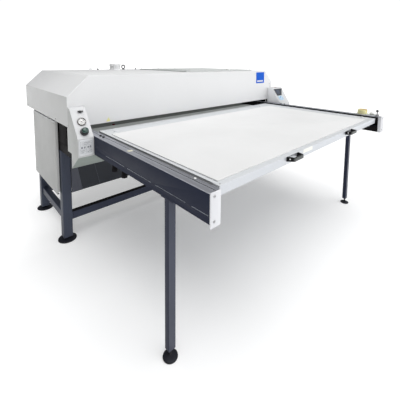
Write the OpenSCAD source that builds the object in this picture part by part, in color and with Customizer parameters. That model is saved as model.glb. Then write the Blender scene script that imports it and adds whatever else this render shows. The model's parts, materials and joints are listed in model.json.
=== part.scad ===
// Large-format pneumatic heat press with a pull-out lower table.
// X runs along the machine, -Y is the operator's side, +Z is up, floor at Z = 0.
// Shown with the table pulled out and the heated plate raised.

/* [Hood] */
// length of the hood, end to end
hood_len = 2380; // [2376:1:2384]
// depth of the hood, front to back
hood_depth = 1190; // [1189:1:1194]
// height of the roof above the floor
hood_top = 1275; // [1274:1:1285]
// height of the shoulder where the end panels start to slope
hood_shoulder = 1137; // [1135:1:1145]
// how far the sloped ends run in
hood_slope = 142; // [138:1:146]
// lower edge of the hood's front panel
hood_front_low = 930; // [926:1:934]
// lower edge of the hood's end panels
hood_side_low = 936; // [932:1:940]
// sheet thickness of the panels
sheet = 2.5; // [2:0.5:3]

/* [Slide beams] */
// outer faces of the two beams, measured from the centre
beam_out = 1089; // [1087:1:1089]
// width of a beam
beam_w = 55; // [54:1:55]
// underside of a beam
beam_low = 779; // [779:1:779]
// front ends of the beams, in front of the hood
beam_front = 1228; // [1220:2:1240]
// height of the running surface on top of a beam
beam_top = 900; // [899:0.5:901]

/* [Table] */
// half the length of the table
table_half = 1000; // [990:2:1000]
// front face of the table, in front of the hood
table_front = 1195; // [1190:1:1200]
// back edge of the table, in front of the hood
table_back = 40; // [36:1:44]
// height of the table plate
table_top = 890; // [889:0.5:890]
// height of the front profile
profile_h = 41; // [38:1:42]
// thickness of the white work board
board_t = 6; // [4:0.5:6]
// length of the work board
board_len = 1831; // [1700:1:1840]
// depth of the work board
board_dep = 967; // [900:1:975]

/* [Frame] */
// side of the square posts
post = 66; // [66:1:66]
// height of the base frame
base_h = 709; // [709:1:709]
// radius of the base feet
foot_r = 66; // [60:1:66]
// width of a table leg
leg = 38; // [34:1:38]
// depth of a table leg
leg_d = 32; // [28:1:34]
// distance of the table legs in front of the hood
leg_y = 959; // [940:1:1000]

/* [Press] */
// thickness of the heated plate
plate_t = 25; // [20:1:25]
// underside of the heated plate when raised
plate_z = 957; // [957:1:960]
// bore radius of the air cylinders
cyl_r = 39; // [36:1:40]

/* [Hidden] */
$fn = 64;
hx = hood_len / 2;
// shift that puts the origin under the middle of the whole machine
ox = -49;
oy = 18.5;
bx0 = beam_out - beam_w;
yf = 284;
yr = 910;
px = 1133;
sl = sqrt(140 * 140 + 172 * 172);
pl = sqrt(120 * 120 + 182 * 182);

navy = [0.17, 0.19, 0.24];
pale = [0.86, 0.87, 0.88];
alu = [0.75, 0.77, 0.79];
black = [0.06, 0.06, 0.06];

module o() { translate([ox, oy, 0]) children(); }
module both() { children(); mirror([1, 0, 0]) children(); }
module box(a, b) { translate(a) cube([b[0] - a[0], b[1] - a[1], b[2] - a[2]]); }
module bar_x(x0, x1, y0, y1, z0, z1, t) {
    difference() { box([x0, y0, z0], [x1, y1, z1]); box([x0 - 1, y0 + t, z0 + t], [x1 + 1, y1 - t, z1 - t]); }
}
module bar_y(x0, x1, y0, y1, z0, z1, t) {
    difference() { box([x0, y0, z0], [x1, y1, z1]); box([x0 + t, y0 - 1, z0 + t], [x1 - t, y1 + 1, z1 - t]); }
}
module bar_z(x0, x1, y0, y1, z0, z1, t) {
    difference() { box([x0, y0, z0], [x1, y1, z1]); box([x0 + t, y0 + t, z0 - 1], [x1 - t, y1 - t, z1 + 1]); }
}
// a section in Y and Z, carried along X
module along_x(x0, x1, pts) { translate([x0, 0, 0]) rotate([90, 0, 90]) linear_extrude(x1 - x0) polygon(pts); }
// a section in X and Z, carried along Y
module along_y(y0, y1, pts) { translate([0, y1, 0]) rotate([90, 0, 0]) linear_extrude(y1 - y0) polygon(pts); }
// place things on the sloped face of the left column: s is the way down the slope
module on_column(x, s) { translate([x, -40 - s * 140 / sl, 1064 - s * 172 / sl]) rotate([atan2(172, 140), 0, 0]) children(); }
// place things on the sloped face of the right pod
module on_pod(x, s) { translate([x, -70 - s * 120 / pl, 1070 - s * 182 / pl]) rotate([atan2(182, 120), 0, 0]) children(); }

// ---- base frame ----
module base_posts() { color(navy) o() both() for (y = [yf, yr]) {
    difference() {
        box([px - post / 2, y - post / 2, 26], [px + post / 2, y + post / 2, base_h]);
        box([px - post / 2 + 4, y - post / 2 + 4, 34], [px + post / 2 - 4, y + post / 2 - 4, base_h + 1]);
    }
} }
module base_rails() { color(navy) o() {
    both() bar_y(px - post / 2, px + post / 2, 60, 1010, base_h, 779, 5);
    for (y = [yf, yr]) bar_x(-px + post / 2 + 0.2, px - post / 2 - 0.2, y - post / 2, y + post / 2, base_h, 779, 5);
} }
module base_stretchers() { color(navy) o() {
    both() bar_y(px - 24, px + 22, yf + post / 2, yr - post / 2, 153, 211, 3);
    for (y = [yf, yr]) bar_x(-px + post / 2, px - post / 2, y - 24, y + 24, 153, 211, 3);
} }
module apron_panel() { color([0.14, 0.15, 0.18]) o() {
    box([-1100, 251, 371], [1100, 254, base_h]);
    box([-1100, 254, 371], [1100, 274, 374]);
    both() along_y(248, 251, [[-1100, 371], [-1019, 371], [-1080, 705], [-1100, 705]]);
} }
module foot(r, h, top, sr) {
    cylinder(r = r, h = h);
    translate([0, 0, h]) cylinder(r1 = r * 0.55, r2 = sr * 1.5, h = 3);
    cylinder(r = sr, h = top);
    translate([0, 0, top - 7]) cylinder(r = sr * 1.75, h = 7, $fn = 6);
}
module levelling_feet() { color(black) o() both() {
    for (y = [yf, yr]) translate([px, y, 0]) foot(foot_r, 11, 26, 9);
    translate([1068, -leg_y, 0]) foot(36, 12, 45, 6);
} }

// ---- slide beams ----
// one beam, drawn on the right-hand side
module beam() {
    difference() {
        along_y(-beam_front, 1150, [[bx0, beam_low], [beam_out, beam_low], [beam_out, beam_top - 3],
            [bx0, beam_top - 3], [bx0, 855], [bx0 + 32, 855], [bx0 + 32, 815], [bx0, 815]]);
        box([bx0 + 5, -beam_front - 1, 785], [beam_out - 5, 1151, 809]);
        box([bx0 + 5, -beam_front - 1, 861], [beam_out - 5, 1151, beam_top - 9]);
        for (g = [[-1220, -1129], [-1088, -870], [-835, -609], [-574, -347]])
            box([beam_out - 1.5, g[0], 809.5], [beam_out + 1, g[1], 812]);
    }
}
module left_slide_beam() { color(navy) o() mirror([1, 0, 0]) beam(); }
// the right-hand beam has a cable lip under its inner edge
module right_slide_beam() { color(navy) o() {
    beam();
    box([bx0, -beam_front, beam_low - 14], [bx0 + 2.5, -40, beam_low + 3]);
} }
module rail_strips() { color(alu) o() both() difference() {
    box([bx0, -beam_front, beam_top - 3], [beam_out, 1150, beam_top]);
    box([bx0 + 6, -beam_front - 1, beam_top - 1.5], [bx0 + 8.5, 1151, beam_top + 1]);
    box([bx0 + 20, -beam_front - 1, beam_top - 1.5], [bx0 + 23, 1151, beam_top + 1]);
} }
module beam_end_caps() { color(pale) o() {
    box([-beam_out, -beam_front - 5, 762], [-bx0, -beam_front, beam_top]);
    box([bx0 - 2, -beam_front - 5, 762], [beam_out + 26, -beam_front, beam_top]);
    box([bx0 - 2, -beam_front, 762], [bx0, -beam_front + 18, beam_top - 3]);
} }
module rail_top_fittings() { color(black) o() {
    both() for (y = [-217, -262]) translate([1063, y, beam_top]) cylinder(r = 7, h = 6);
    difference() {
        union() {
            for (x = [1045, 1075]) box([x, -1203, beam_top], [x + 4, -1183, beam_top + 17]);
            box([1045, -1203, beam_top], [1079, -1183, beam_top + 0.6]);
            translate([1042, -1193, beam_top + 9.5]) rotate([0, 90, 0]) cylinder(r = 4, h = 42);
        }
    }
} }
module table_legs() { color(navy) o() both() {
    bar_z(1068 - leg / 2, 1068 + leg / 2, -leg_y - leg_d / 2, -leg_y + leg_d / 2, 49, 772, 2.5);
    box([1068 - leg / 2, -leg_y - leg_d / 2, 45], [1068 + leg / 2, -leg_y + leg_d / 2, 49]);
    box([1037, -leg_y - 45, 772], [1087, -leg_y + 45, beam_low]);
} }
module beam_fixing_bolts() { color(black) o() both() for (y = [-404, -524])
    translate([1061, y, 0]) {
        translate([0, 0, 746]) cylinder(r = 15, h = beam_low - 746);
        translate([0, 0, 728]) cylinder(r = 18, h = 18, $fn = 6);
    }
}

// ---- press structure inside the hood ----
module bed_supports() { color(navy) o() {
    for (x = [-800, -400, 0, 400, 800]) bar_y(x - 40, x + 40, 30, 1160, 779, 845, 5);
    box([-990, 30, 845], [990, 1160, 846.5]);
} }
module press_columns() { color([0.2, 0.21, 0.23]) o() both() for (y = [100, 840])
    bar_z(1102, 1168, y, y + 170, 779, 1140, 6);
}
module press_girders() { color([0.3, 0.31, 0.33]) o() {
    for (y = [130, 880]) bar_x(-1102, 1102, y, y + 100, 1060, 1185, 8);
    for (x = [-700, 0, 700]) for (s = [-62, 50])
        box([x + s, 230.2, 1090], [x + s + 12, 879.8, 1180]);
} }
module air_cylinders() { color(alu) o() for (x = [-700, 0, 700]) for (y = [355, 755]) translate([x, y, 0])
    difference() {
        union() {
            translate([0, 0, 1062]) cylinder(r = cyl_r + 6, h = 178);
            box([-70, -52, 1180], [70, 52, 1192]);
        }
        translate([0, 0, 1078]) cylinder(r = cyl_r, h = 148);
        translate([0, 0, 1061]) cylinder(r = 12.55, h = 20);
    }
}
module guide_bushings() { color([0.72, 0.6, 0.35]) o() both() for (y = [260, 850]) translate([880, y, 0])
    difference() {
        box([-30, -30, 1080], [30, 30, 1160]);
        translate([0, 0, 1079]) cylinder(r = 15.05, h = 82);
    }
}

// ---- hood ----
module hexa(y0, y1, low) {
    along_y(y0, y1, [[-hx, low], [-hx, hood_shoulder], [-hx + hood_slope, hood_top],
        [hx - hood_slope, hood_top], [hx, hood_shoulder], [hx, low]]);
}
module hood_front_panel() { color(pale) o() {
    hexa(0, sheet, hood_front_low);
    box([-1085, sheet, hood_front_low], [1085, 15, hood_front_low + sheet]);
} }
module end_panel() {
    g = hood_top - hood_shoulder;
    n = sqrt(g * g + hood_slope * hood_slope);
    along_y(sheet, hood_depth - sheet, [[hx, hood_side_low], [hx, hood_shoulder], [hx - hood_slope, hood_top],
        [hx - hood_slope, hood_top - sheet * n / hood_slope],
        [hx - sheet, hood_shoulder + sheet * g / hood_slope - sheet * n / hood_slope], [hx - sheet, hood_side_low]]);
    box([hx - 16, sheet, hood_side_low], [hx - sheet, hood_depth - sheet, hood_side_low + sheet]);
}
module hood_left_panel() { color(pale) o() mirror([1, 0, 0]) end_panel(); }
module hood_right_panel() { color(pale) o() end_panel(); }
module hood_roof_panel() { color(pale) o() difference() {
    box([-hx + hood_slope, sheet, hood_top - sheet], [hx - hood_slope, hood_depth - sheet, hood_top]);
    translate([-323, 1100, hood_top - 10]) cylinder(r = 52, h = 20);
} }
module roof_service_panel() { color([0.62, 0.64, 0.62]) o() {
    box([-60, 140, hood_top], [960, 1010, hood_top + 10]);
    for (i = [0:7]) box([20 + i * 14, 300, hood_top + 10], [26 + i * 14, 850, hood_top + 14]);
} }
module rear_cover() { color(pale) o() difference() {
    union() {
        hexa(hood_depth - sheet, hood_depth, hood_side_low);
        box([-1095, hood_depth - sheet, 700], [1095, hood_depth, hood_side_low + 1]);
    }
    for (i = [0:9]) for (x = [-620, 480]) box([x, hood_depth - 9, 1000 + i * 16], [x + 140, hood_depth + 9, 1006 + i * 16]);
    translate([-900, hood_depth + 5, 800]) rotate([90, 0, 0]) cylinder(r = 9, h = 20);
    translate([-800, hood_depth + 5, 800]) rotate([90, 0, 0]) cylinder(r = 9.5, h = 20);
} }
module side_cover() {
    box([hx - sheet, 290, 367], [hx, 935, 925]);
    box([hx - 19, 290, 386], [hx - sheet, 292.5, 925]);
    box([hx - 19, 932.5, 386], [hx - sheet, 935, 925]);
    box([hx - 16, 292.5, 922.5], [hx - sheet, 932.5, 925]);
    box([hx - 16, 292.5, 367], [hx - sheet, 932.5, 369.5]);
}
module left_side_cover() { color([0.8, 0.81, 0.81]) o() mirror([1, 0, 0]) side_cover(); }
module right_side_cover() { color([0.8, 0.81, 0.81]) o() side_cover(); }
module electrical_cabinet() { color([0.7, 0.71, 0.72]) o() difference() {
    box([-1095, 290, 390], [-900, 800, base_h]);
    box([-1093, 292, 392], [-902, 798, base_h - 2]);
} }
module air_tank() { color([0.2, 0.22, 0.28]) o() {
    difference() {
        translate([-420, 560, 590]) rotate([0, 90, 0]) rotate_extrude()
            polygon([[0, -50], [40, -44], [68, -24], [80, 0], [80, 840], [68, 864], [40, 884], [0, 890]]);
        translate([-417, 560, 590]) rotate([0, 90, 0]) cylinder(r = 76, h = 834);
    }
    for (x = [-400, 400]) difference() {
        box([x - 30, 555, 590], [x + 30, 565, 779]);
        translate([x - 40, 560, 590]) rotate([0, 90, 0]) cylinder(r = 78, h = 80);
    }
} }

// ---- left control column ----
module control_column() { color(pale) o() difference() {
    along_x(-hx, -1090, [[0, 1071], [-40, 1064], [-180, 892], [-180, 775], [-60, 677], [-60, 775], [10, 775], [10, 930], [0, 930]]);
    along_x(-hx + sheet, -1092.5, [[11, 1068], [-39, 1061.3], [-177.5, 891], [-177.5, 776.2], [-62.5, 682.3], [-62.5, 777.5], [11, 777.5]]);
    on_column(-1138, 104) translate([0, 0, -10]) cylinder(r = 24.2, h = 20);
    on_column(-1139, 177) translate([0, 0, -10]) cylinder(r = 12, h = 20);
    on_column(-1129, 30) translate([0, 0, -10]) cylinder(r = 5.05, h = 20);
} }
module column_deflector() { color([0.6, 0.64, 0.6]) o() translate([0, -180, 775]) rotate([-atan2(98, 120), 0, 0])
    translate([0, 0, -sheet]) linear_extrude(sheet) polygon([[-hx, 0], [-1087, 0], [-975, 154.9], [-hx, 154.9]]);
}
module gauge_body() { color([0.8, 0.8, 0.8]) o() on_column(-1138, 104) {
    difference() {
        union() { cylinder(r = 27, h = 9); translate([0, 0, -30]) cylinder(r = 24, h = 30.5); }
        translate([0, 0, 2.5]) cylinder(r = 24, h = 10);
    }
    translate([0, 0, 2]) cylinder(r = 1, h = 3.6);
} }
module gauge_needle() { color([0.7, 0.1, 0.05]) o() on_column(-1138, 104) rotate([0, 0, 135]) translate([0, 0, 3.2]) difference() {
    union() {
        cylinder(r = 3.2, h = 1.6);
        linear_extrude(0.9) polygon([[-1.6, -8], [1.6, -8], [1.2, 0], [0.4, 18], [-0.4, 18], [-1.2, 0]]);
    }
    translate([0, 0, -1]) cylinder(r = 1.05, h = 5);
} }
module start_button_collar() { color(black) o() on_column(-1139, 177) difference() {
    union() { cylinder(r = 26, h = 13); translate([0, 0, -24]) cylinder(r = 11.9, h = 25); }
    translate([0, 0, -25]) cylinder(r = 8.05, h = 45);
} }
module start_button() { color([0.05, 0.2, 0.14]) o() on_column(-1139, 177) {
    translate([0, 0, -20]) cylinder(r = 8, h = 45);
    translate([0, 0, 19.5]) rotate_extrude() polygon([[0, 0], [19.5, 0], [20.5, 3], [20, 7], [17, 11.5], [11, 14.5], [0, 16]]);
} }
module mode_selector() { color(black) o() on_column(-1129, 30) {
    translate([0, 0, 0.3]) cylinder(r = 8, h = 6);
    translate([0, 0, -14]) cylinder(r = 5, h = 16);
    translate([-17, -4.5, 5]) cube([34, 9, 8]);
} }

// ---- right control pod ----
module right_control_pod() { color(pale) o() {
    difference() {
        along_x(1100, 1299, [[0, 1070], [-70, 1070], [-190, 888], [-190, 868], [0, 868]]);
        along_x(1102.5, 1296.5, [[-2.5, 1067.5], [-68.7, 1067.5], [-187.5, 887.3], [-187.5, 870.5], [-2.5, 870.5]]);
    }
    bar_z(1100, 1190, -120, 0, 775, 868, 2.5);
} }
module operator_screen() { color([0.09, 0.1, 0.13]) o() {
    on_pod(0, 0) linear_extrude(3) polygon([[1116, -18], [1293, -18], [1215, -108], [1120, -108]]);
    on_pod(0, 0) linear_extrude(1.5) polygon([[1124, -112], [1216, -112], [1222, -170], [1128, -170]]);
    on_pod(1169, 131) cylinder(r = 9, h = 3);
} }

// ---- small fittings ----
module panel_screws() { color([0.45, 0.46, 0.47]) o() {
    both() for (z = [787, 885]) translate([1069, -beam_front - 5, z]) rotate([90, 0, 0]) cylinder(r = 5.5, h = 1.4);
    for (z = [1083, 1116]) translate([1142, 0, z]) rotate([90, 0, 0]) cylinder(r = 6, h = 2.5);
    for (x = [1122, 1158]) translate([x, -38, 1070]) cylinder(r = 7, h = 5);
    both() for (y = [310, 610, 915]) translate([hx, y, 905]) rotate([0, 90, 0]) cylinder(r = 5, h = 2);
    both() for (y = [262, 1120]) translate([hx, y, 952]) rotate([0, 90, 0]) cylinder(r = 6, h = 2.5);
} }
module exhaust_spigot() { color(pale) o() translate([-323, 1100, hood_top]) difference() {
    union() { cylinder(r = 70, h = 2); cylinder(r = 57.5, h = 63); }
    translate([0, 0, -1]) cylinder(r = 55, h = 70);
} }
module roof_fittings() { color(black) o() {
    translate([-222, 1100, hood_top]) { cylinder(r = 14, h = 8); cylinder(r = 6, h = 14);
        translate([0, 0, 30]) rotate([90, 0, 0]) rotate_extrude() translate([19, 0]) circle(r = 5.5); }
    for (x = [-515, -52]) translate([x, 1120, hood_top]) { cylinder(r = 8, h = 9); cylinder(r = 4, h = 18); }
} }
module station_box() { color([0.7, 0.71, 0.72]) o() difference() {
    union() {
        box([beam_out, -1166, 838], [1173, -1005, beam_top]);
        box([beam_out, -beam_front, 842], [1113, -1165, 896]);
    }
    box([beam_out + 2.5, -1163.5, 840.5], [1170.5, -1007.5, beam_top - 2.5]);
    translate([1131, -1051, beam_top - 5]) cylinder(r = 10.05, h = 10);
    translate([1131, -1134, beam_top - 5]) cylinder(r = 9.05, h = 10);
} }
module stop_button_shroud() { color([0.9, 0.72, 0.05]) o() translate([1131, -1051, beam_top]) difference() {
    cylinder(r = 41, h = 40);
    translate([0, 0, 3]) cylinder(r = 35, h = 50);
    translate([0, 0, -1]) cylinder(r = 12, h = 10);
    box([-17, -60, 20], [17, 60, 60]);
} }
module stop_button() { color([0.7, 0.06, 0.04]) o() translate([1131, -1051, beam_top]) {
    translate([0, 0, -30]) cylinder(r = 10, h = 50);
    translate([0, 0, 17]) rotate_extrude() polygon([[0, 0], [20, 0], [23, 3], [23, 8], [20, 13], [12, 17], [0, 18.5]]);
} }
module station_start_button() { color([0.9, 0.9, 0.9]) o() translate([1131, -1134, beam_top]) {
    translate([0, 0, -25]) cylinder(r = 9, h = 33);
    translate([0, 0, 6]) rotate_extrude() polygon([[0, 0], [21, 0], [22, 2], [21, 9], [16, 14], [0, 16]]);
} }
module latch_lever() { color(black) o() translate([0, -1193, beam_top + 9.5]) difference() {
    union() {
        translate([1055, 0, 0]) rotate([0, 90, 0]) cylinder(r = 8, h = 12);
        translate([1061, 0, 6]) cylinder(r = 3.5, h = 28);
        translate([1061, 0, 39]) sphere(r = 10.5);
    }
    translate([1050, 0, 0]) rotate([0, 90, 0]) cylinder(r = 4.05, h = 30);
} }
module air_inlet_fitting() { color([0.75, 0.62, 0.35]) o() translate([-800, hood_depth, 800]) rotate([-90, 0, 0]) difference() {
    union() { cylinder(r = 16, h = 8, $fn = 6); cylinder(r = 12.5, h = 24); }
    translate([0, 0, 8]) cylinder(r = 9.5, h = 20);
} }
module cable_gland() { color(black) o() translate([-900, hood_depth, 800]) rotate([-90, 0, 0]) difference() {
    union() { cylinder(r = 18, h = 8, $fn = 6); cylinder(r = 14, h = 24); }
    translate([0, 0, -1]) cylinder(r = 8, h = 30);
} }

// ---- pull-out table ----
module table_frame() { color([0.8, 0.83, 0.86]) o() {
    bar_x(-table_half, table_half, -table_front, -table_front + 40, table_top - profile_h, table_top, 3);
    bar_x(-994, 994, -80, -table_back, table_top - profile_h, table_top - 4, 3);
    for (x = [-974, -500, 0, 500, 974]) bar_y(x - 20, x + 20, -table_front + 40.2, -80.2, table_top - profile_h, table_top - 4, 3);
} }
module table_side_rails() { color(black) o() both() {
    box([994.2, -1154, 812], [table_half, -45, table_top - 4.2]);
    for (y = [-1090, -110]) translate([0, y, 832.8]) rotate([0, 90, 0]) {
        translate([0, 0, 994.2]) cylinder(r = 9, h = 51.4);
        translate([0, 0, 994.2]) cylinder(r = 6, h = 69);
        translate([0, 0, 1060.5]) cylinder(r = 9, h = 2.7);
    }
} }
module table_plate() { color(alu) o() box([-table_half, -table_front + 40.2, table_top - 4], [table_half, -table_back, table_top]); }
module work_board() { color([0.95, 0.95, 0.95]) o()
    box([-981, -195 - board_dep, table_top], [-981 + board_len, -195, table_top + board_t]);
}
module handle() {
    difference() {
        translate([0, 0, -3]) linear_extrude(25)
            polygon([[-62, 0], [-49, -35], [-44, -41], [44, -41], [49, -35], [62, 0]]);
        translate([0, 0, -5]) linear_extrude(30)
            polygon([[-50, 1], [-39, -28], [-36, -31], [36, -31], [39, -28], [50, 1]]);
        along_x(-70, 70, [[0, -3], [-41, 2.5], [-45, 3.1], [-45, -6], [0, -6]]);
    }
}
module table_handles() { color(black) o() for (x = [-438, 366]) translate([x, -table_front, 868]) handle(); }
module table_clips() { color([0.85, 0.85, 0.85]) o() {
    for (p = [[-918, -124], [762, -139], [874, -1071], [968, -1098]])
        box([p[0] - 12, p[1] - 8, table_top], [p[0] + 12, p[1] + 8, table_top + 5.5]);
} }
module roller(x, y) {
    o() translate([x, y, 832.8]) rotate([0, 90, 0]) difference() {
        rotate_extrude() polygon([[0, 0], [16.5, 0], [17.5, 1], [17.5, 13], [16.5, 14], [0, 14]]);
        translate([0, 0, -1]) cylinder(r = 6.05, h = 16);
    }
}
module roller_front_left() { color([0.5, 0.5, 0.52]) roller(-1060, -1090); }
module roller_front_right() { color([0.5, 0.5, 0.52]) roller(1046, -1090); }
module roller_rear_left() { color([0.5, 0.5, 0.52]) roller(-1060, -110); }
module roller_rear_right() { color([0.5, 0.5, 0.52]) roller(1046, -110); }

// ---- heated plate and its drive ----
module heated_plate() { color([0.6, 0.6, 0.62]) o() box([-1000, 20, plate_z], [1000, 1170, plate_z + plate_t]); }
module platen_ribs() { color([0.35, 0.36, 0.38]) o() for (x = [-880, -700, -350, 0, 350, 700, 880])
    box([x - 25, 20, plate_z + plate_t], [x + 25, 1170, 1030]);
}
module piston_rods() { color([0.8, 0.8, 0.82]) o() for (x = [-700, 0, 700]) for (y = [355, 755]) translate([x, y, 0]) {
    translate([0, 0, 1030]) cylinder(r = 12.5, h = 170);
    translate([0, 0, 1195]) cylinder(r = cyl_r - 0.08, h = 25);
} }
module guide_rods() { color([0.8, 0.8, 0.82]) o() both() for (y = [260, 850])
    translate([880, y, 1030]) cylinder(r = 15, h = 215);
}

base_posts();
base_rails();
base_stretchers();
apron_panel();
levelling_feet();
left_slide_beam();
right_slide_beam();
rail_strips();
beam_end_caps();
rail_top_fittings();
table_legs();
beam_fixing_bolts();
bed_supports();
press_columns();
press_girders();
air_cylinders();
guide_bushings();
hood_front_panel();
hood_left_panel();
hood_right_panel();
hood_roof_panel();
roof_service_panel();
rear_cover();
left_side_cover();
right_side_cover();
electrical_cabinet();
air_tank();
control_column();
column_deflector();
gauge_body();
start_button_collar();
right_control_pod();
operator_screen();
panel_screws();
exhaust_spigot();
roof_fittings();
station_box();
stop_button_shroud();
air_inlet_fitting();
cable_gland();
table_frame();
table_side_rails();
table_plate();
work_board();
table_handles();
table_clips();
roller_front_left();
roller_front_right();
roller_rear_left();
roller_rear_right();
heated_plate();
platen_ribs();
piston_rods();
guide_rods();
start_button();
mode_selector();
gauge_needle();
stop_button();
station_start_button();
latch_lever();
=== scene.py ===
"""Looks of the large-format heat press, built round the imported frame. Everything is in metres, in the frame's own axes."""
import json
import math

import bmesh
import bpy
from mathutils import Matrix, Vector

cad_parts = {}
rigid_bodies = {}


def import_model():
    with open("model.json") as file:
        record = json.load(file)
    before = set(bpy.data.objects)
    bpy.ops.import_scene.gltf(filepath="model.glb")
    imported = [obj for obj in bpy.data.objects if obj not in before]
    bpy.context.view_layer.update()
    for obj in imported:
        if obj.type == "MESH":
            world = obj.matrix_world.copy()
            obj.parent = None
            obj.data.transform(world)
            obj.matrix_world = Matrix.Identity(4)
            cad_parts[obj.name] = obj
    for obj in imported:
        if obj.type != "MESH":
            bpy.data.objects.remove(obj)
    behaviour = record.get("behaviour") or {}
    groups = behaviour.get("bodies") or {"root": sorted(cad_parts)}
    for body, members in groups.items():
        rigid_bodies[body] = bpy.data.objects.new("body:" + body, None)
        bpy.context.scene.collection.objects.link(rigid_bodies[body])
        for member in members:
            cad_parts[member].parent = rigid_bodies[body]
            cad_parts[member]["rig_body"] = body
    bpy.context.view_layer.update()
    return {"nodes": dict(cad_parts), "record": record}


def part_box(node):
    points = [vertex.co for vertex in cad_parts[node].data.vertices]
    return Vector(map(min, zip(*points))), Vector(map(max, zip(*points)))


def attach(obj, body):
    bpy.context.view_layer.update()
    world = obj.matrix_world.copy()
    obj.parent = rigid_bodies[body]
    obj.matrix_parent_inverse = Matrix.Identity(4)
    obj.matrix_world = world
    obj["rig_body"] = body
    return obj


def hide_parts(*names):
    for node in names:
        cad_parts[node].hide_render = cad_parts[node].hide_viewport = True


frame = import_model()
record = frame["record"]
SLOT = {s["node"]: s["material_slot"] for s in record["subparts"]}

# The machine's own axes: millimetres, X from the middle of the hood, Y from the hood's front plane, Z from the floor.
hood_lo, hood_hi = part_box("hood_front_panel")
OX, OY = (hood_lo.x + hood_hi.x) / 2, hood_lo.y
M0 = Matrix.Translation((OX, OY, 0)) @ Matrix.Scale(0.001, 4)


def place(x, y, z, tilt=0.0, turn=0.0):
    """Local millimetres at a point of the machine, tilted back about X by tilt degrees, after a turn about Z."""
    return M0 @ Matrix.Translation((x, y, z)) @ Matrix.Rotation(math.radians(turn), 4, "Z") @ Matrix.Rotation(math.radians(tilt), 4, "X")


def toward(x, y, z, axis):
    """Local millimetres whose +Z points along axis."""
    q = Vector(axis).to_track_quat("Z", "Y").to_matrix().to_4x4()
    return M0 @ Matrix.Translation((x, y, z)) @ q


SL, PL = math.hypot(140, 172), math.hypot(120, 182)


def on_column(x, s):
    return place(x, -40 - s * 140 / SL, 1064 - s * 172 / SL, tilt=math.degrees(math.atan2(172, 140)))


def on_pod(x, s):
    return place(x, -70 - s * 120 / PL, 1070 - s * 182 / PL, tilt=math.degrees(math.atan2(182, 120)))


# ------------------------------------------------------------------ node helpers
def mat_new(name):
    m = bpy.data.materials.new(name)
    m.use_nodes = True
    nt = m.node_tree
    nt.nodes.clear()
    out = nt.nodes.new("ShaderNodeOutputMaterial")
    b = nt.nodes.new("ShaderNodeBsdfPrincipled")
    nt.links.new(b.outputs[0], out.inputs[0])
    return m, nt, b


def coords(nt, scale=(1, 1, 1)):
    tc = nt.nodes.new("ShaderNodeTexCoord")
    mp = nt.nodes.new("ShaderNodeMapping")
    mp.inputs["Scale"].default_value = scale
    nt.links.new(tc.outputs["Object"], mp.inputs["Vector"])
    return mp.outputs[0]


def noise(nt, vec, scale, detail=2.0, rough=0.5):
    n = nt.nodes.new("ShaderNodeTexNoise")
    n.inputs["Scale"].default_value = scale
    n.inputs["Detail"].default_value = detail
    n.inputs["Roughness"].default_value = rough
    nt.links.new(vec, n.inputs["Vector"])
    return n.outputs[0]


def put(nt, socket, value):
    if hasattr(value, "is_output"):
        nt.links.new(value, socket)
    else:
        socket.default_value = value


def remap(nt, fac, a, b, c=0.0, d=1.0, smooth=False):
    n = nt.nodes.new("ShaderNodeMapRange")
    n.clamp = True
    if smooth:
        n.interpolation_type = "SMOOTHSTEP"
    put(nt, n.inputs[0], fac)
    for i, v in enumerate((a, b, c, d), 1):
        n.inputs[i].default_value = v
    return n.outputs[0]


def mixc(nt, fac, a, b, mode="MIX"):
    n = nt.nodes.new("ShaderNodeMix")
    n.data_type = "RGBA"
    n.blend_type = mode
    put(nt, n.inputs[0], fac)
    put(nt, n.inputs[6], a if hasattr(a, "is_output") else (*a, 1.0))
    put(nt, n.inputs[7], b if hasattr(b, "is_output") else (*b, 1.0))
    return n.outputs[2]


def calc(nt, op, a, b=0.0):
    n = nt.nodes.new("ShaderNodeMath")
    n.operation = op
    put(nt, n.inputs[0], a)
    put(nt, n.inputs[1], b)
    return n.outputs[0]


def bumped(nt, b, height, distance, strength=1.0, under=None):
    n = nt.nodes.new("ShaderNodeBump")
    n.inputs["Strength"].default_value = strength
    n.inputs["Distance"].default_value = distance
    nt.links.new(height, n.inputs["Height"])
    if under is not None:
        nt.links.new(under, n.inputs["Normal"])
    nt.links.new(n.outputs[0], b.inputs["Normal"])
    return n.outputs[0]


def edge_mask(nt, radius, vec, amount):
    """1 where a surface turns over an edge, broken up by noise; there the paint takes its edge colour, a painted
    highlight where that colour is lighter than the paint and paint rubbed thin where it is darker.
    """
    bv = nt.nodes.new("ShaderNodeBevel")
    bv.samples = 4
    bv.inputs["Radius"].default_value = radius
    geo = nt.nodes.new("ShaderNodeNewGeometry")
    dot = nt.nodes.new("ShaderNodeVectorMath")
    dot.operation = "DOT_PRODUCT"
    nt.links.new(bv.outputs[0], dot.inputs[0])
    nt.links.new(geo.outputs["Normal"], dot.inputs[1])
    edge = remap(nt, dot.outputs["Value"], 0.99, 0.85)
    spots = remap(nt, noise(nt, vec, 55, 5, 0.65), 0.60 - amount, 0.68 - amount)
    return calc(nt, "MULTIPLY", edge, spots)


def tint(col, k):
    return tuple(min(1.0, c * k) for c in col)


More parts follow.
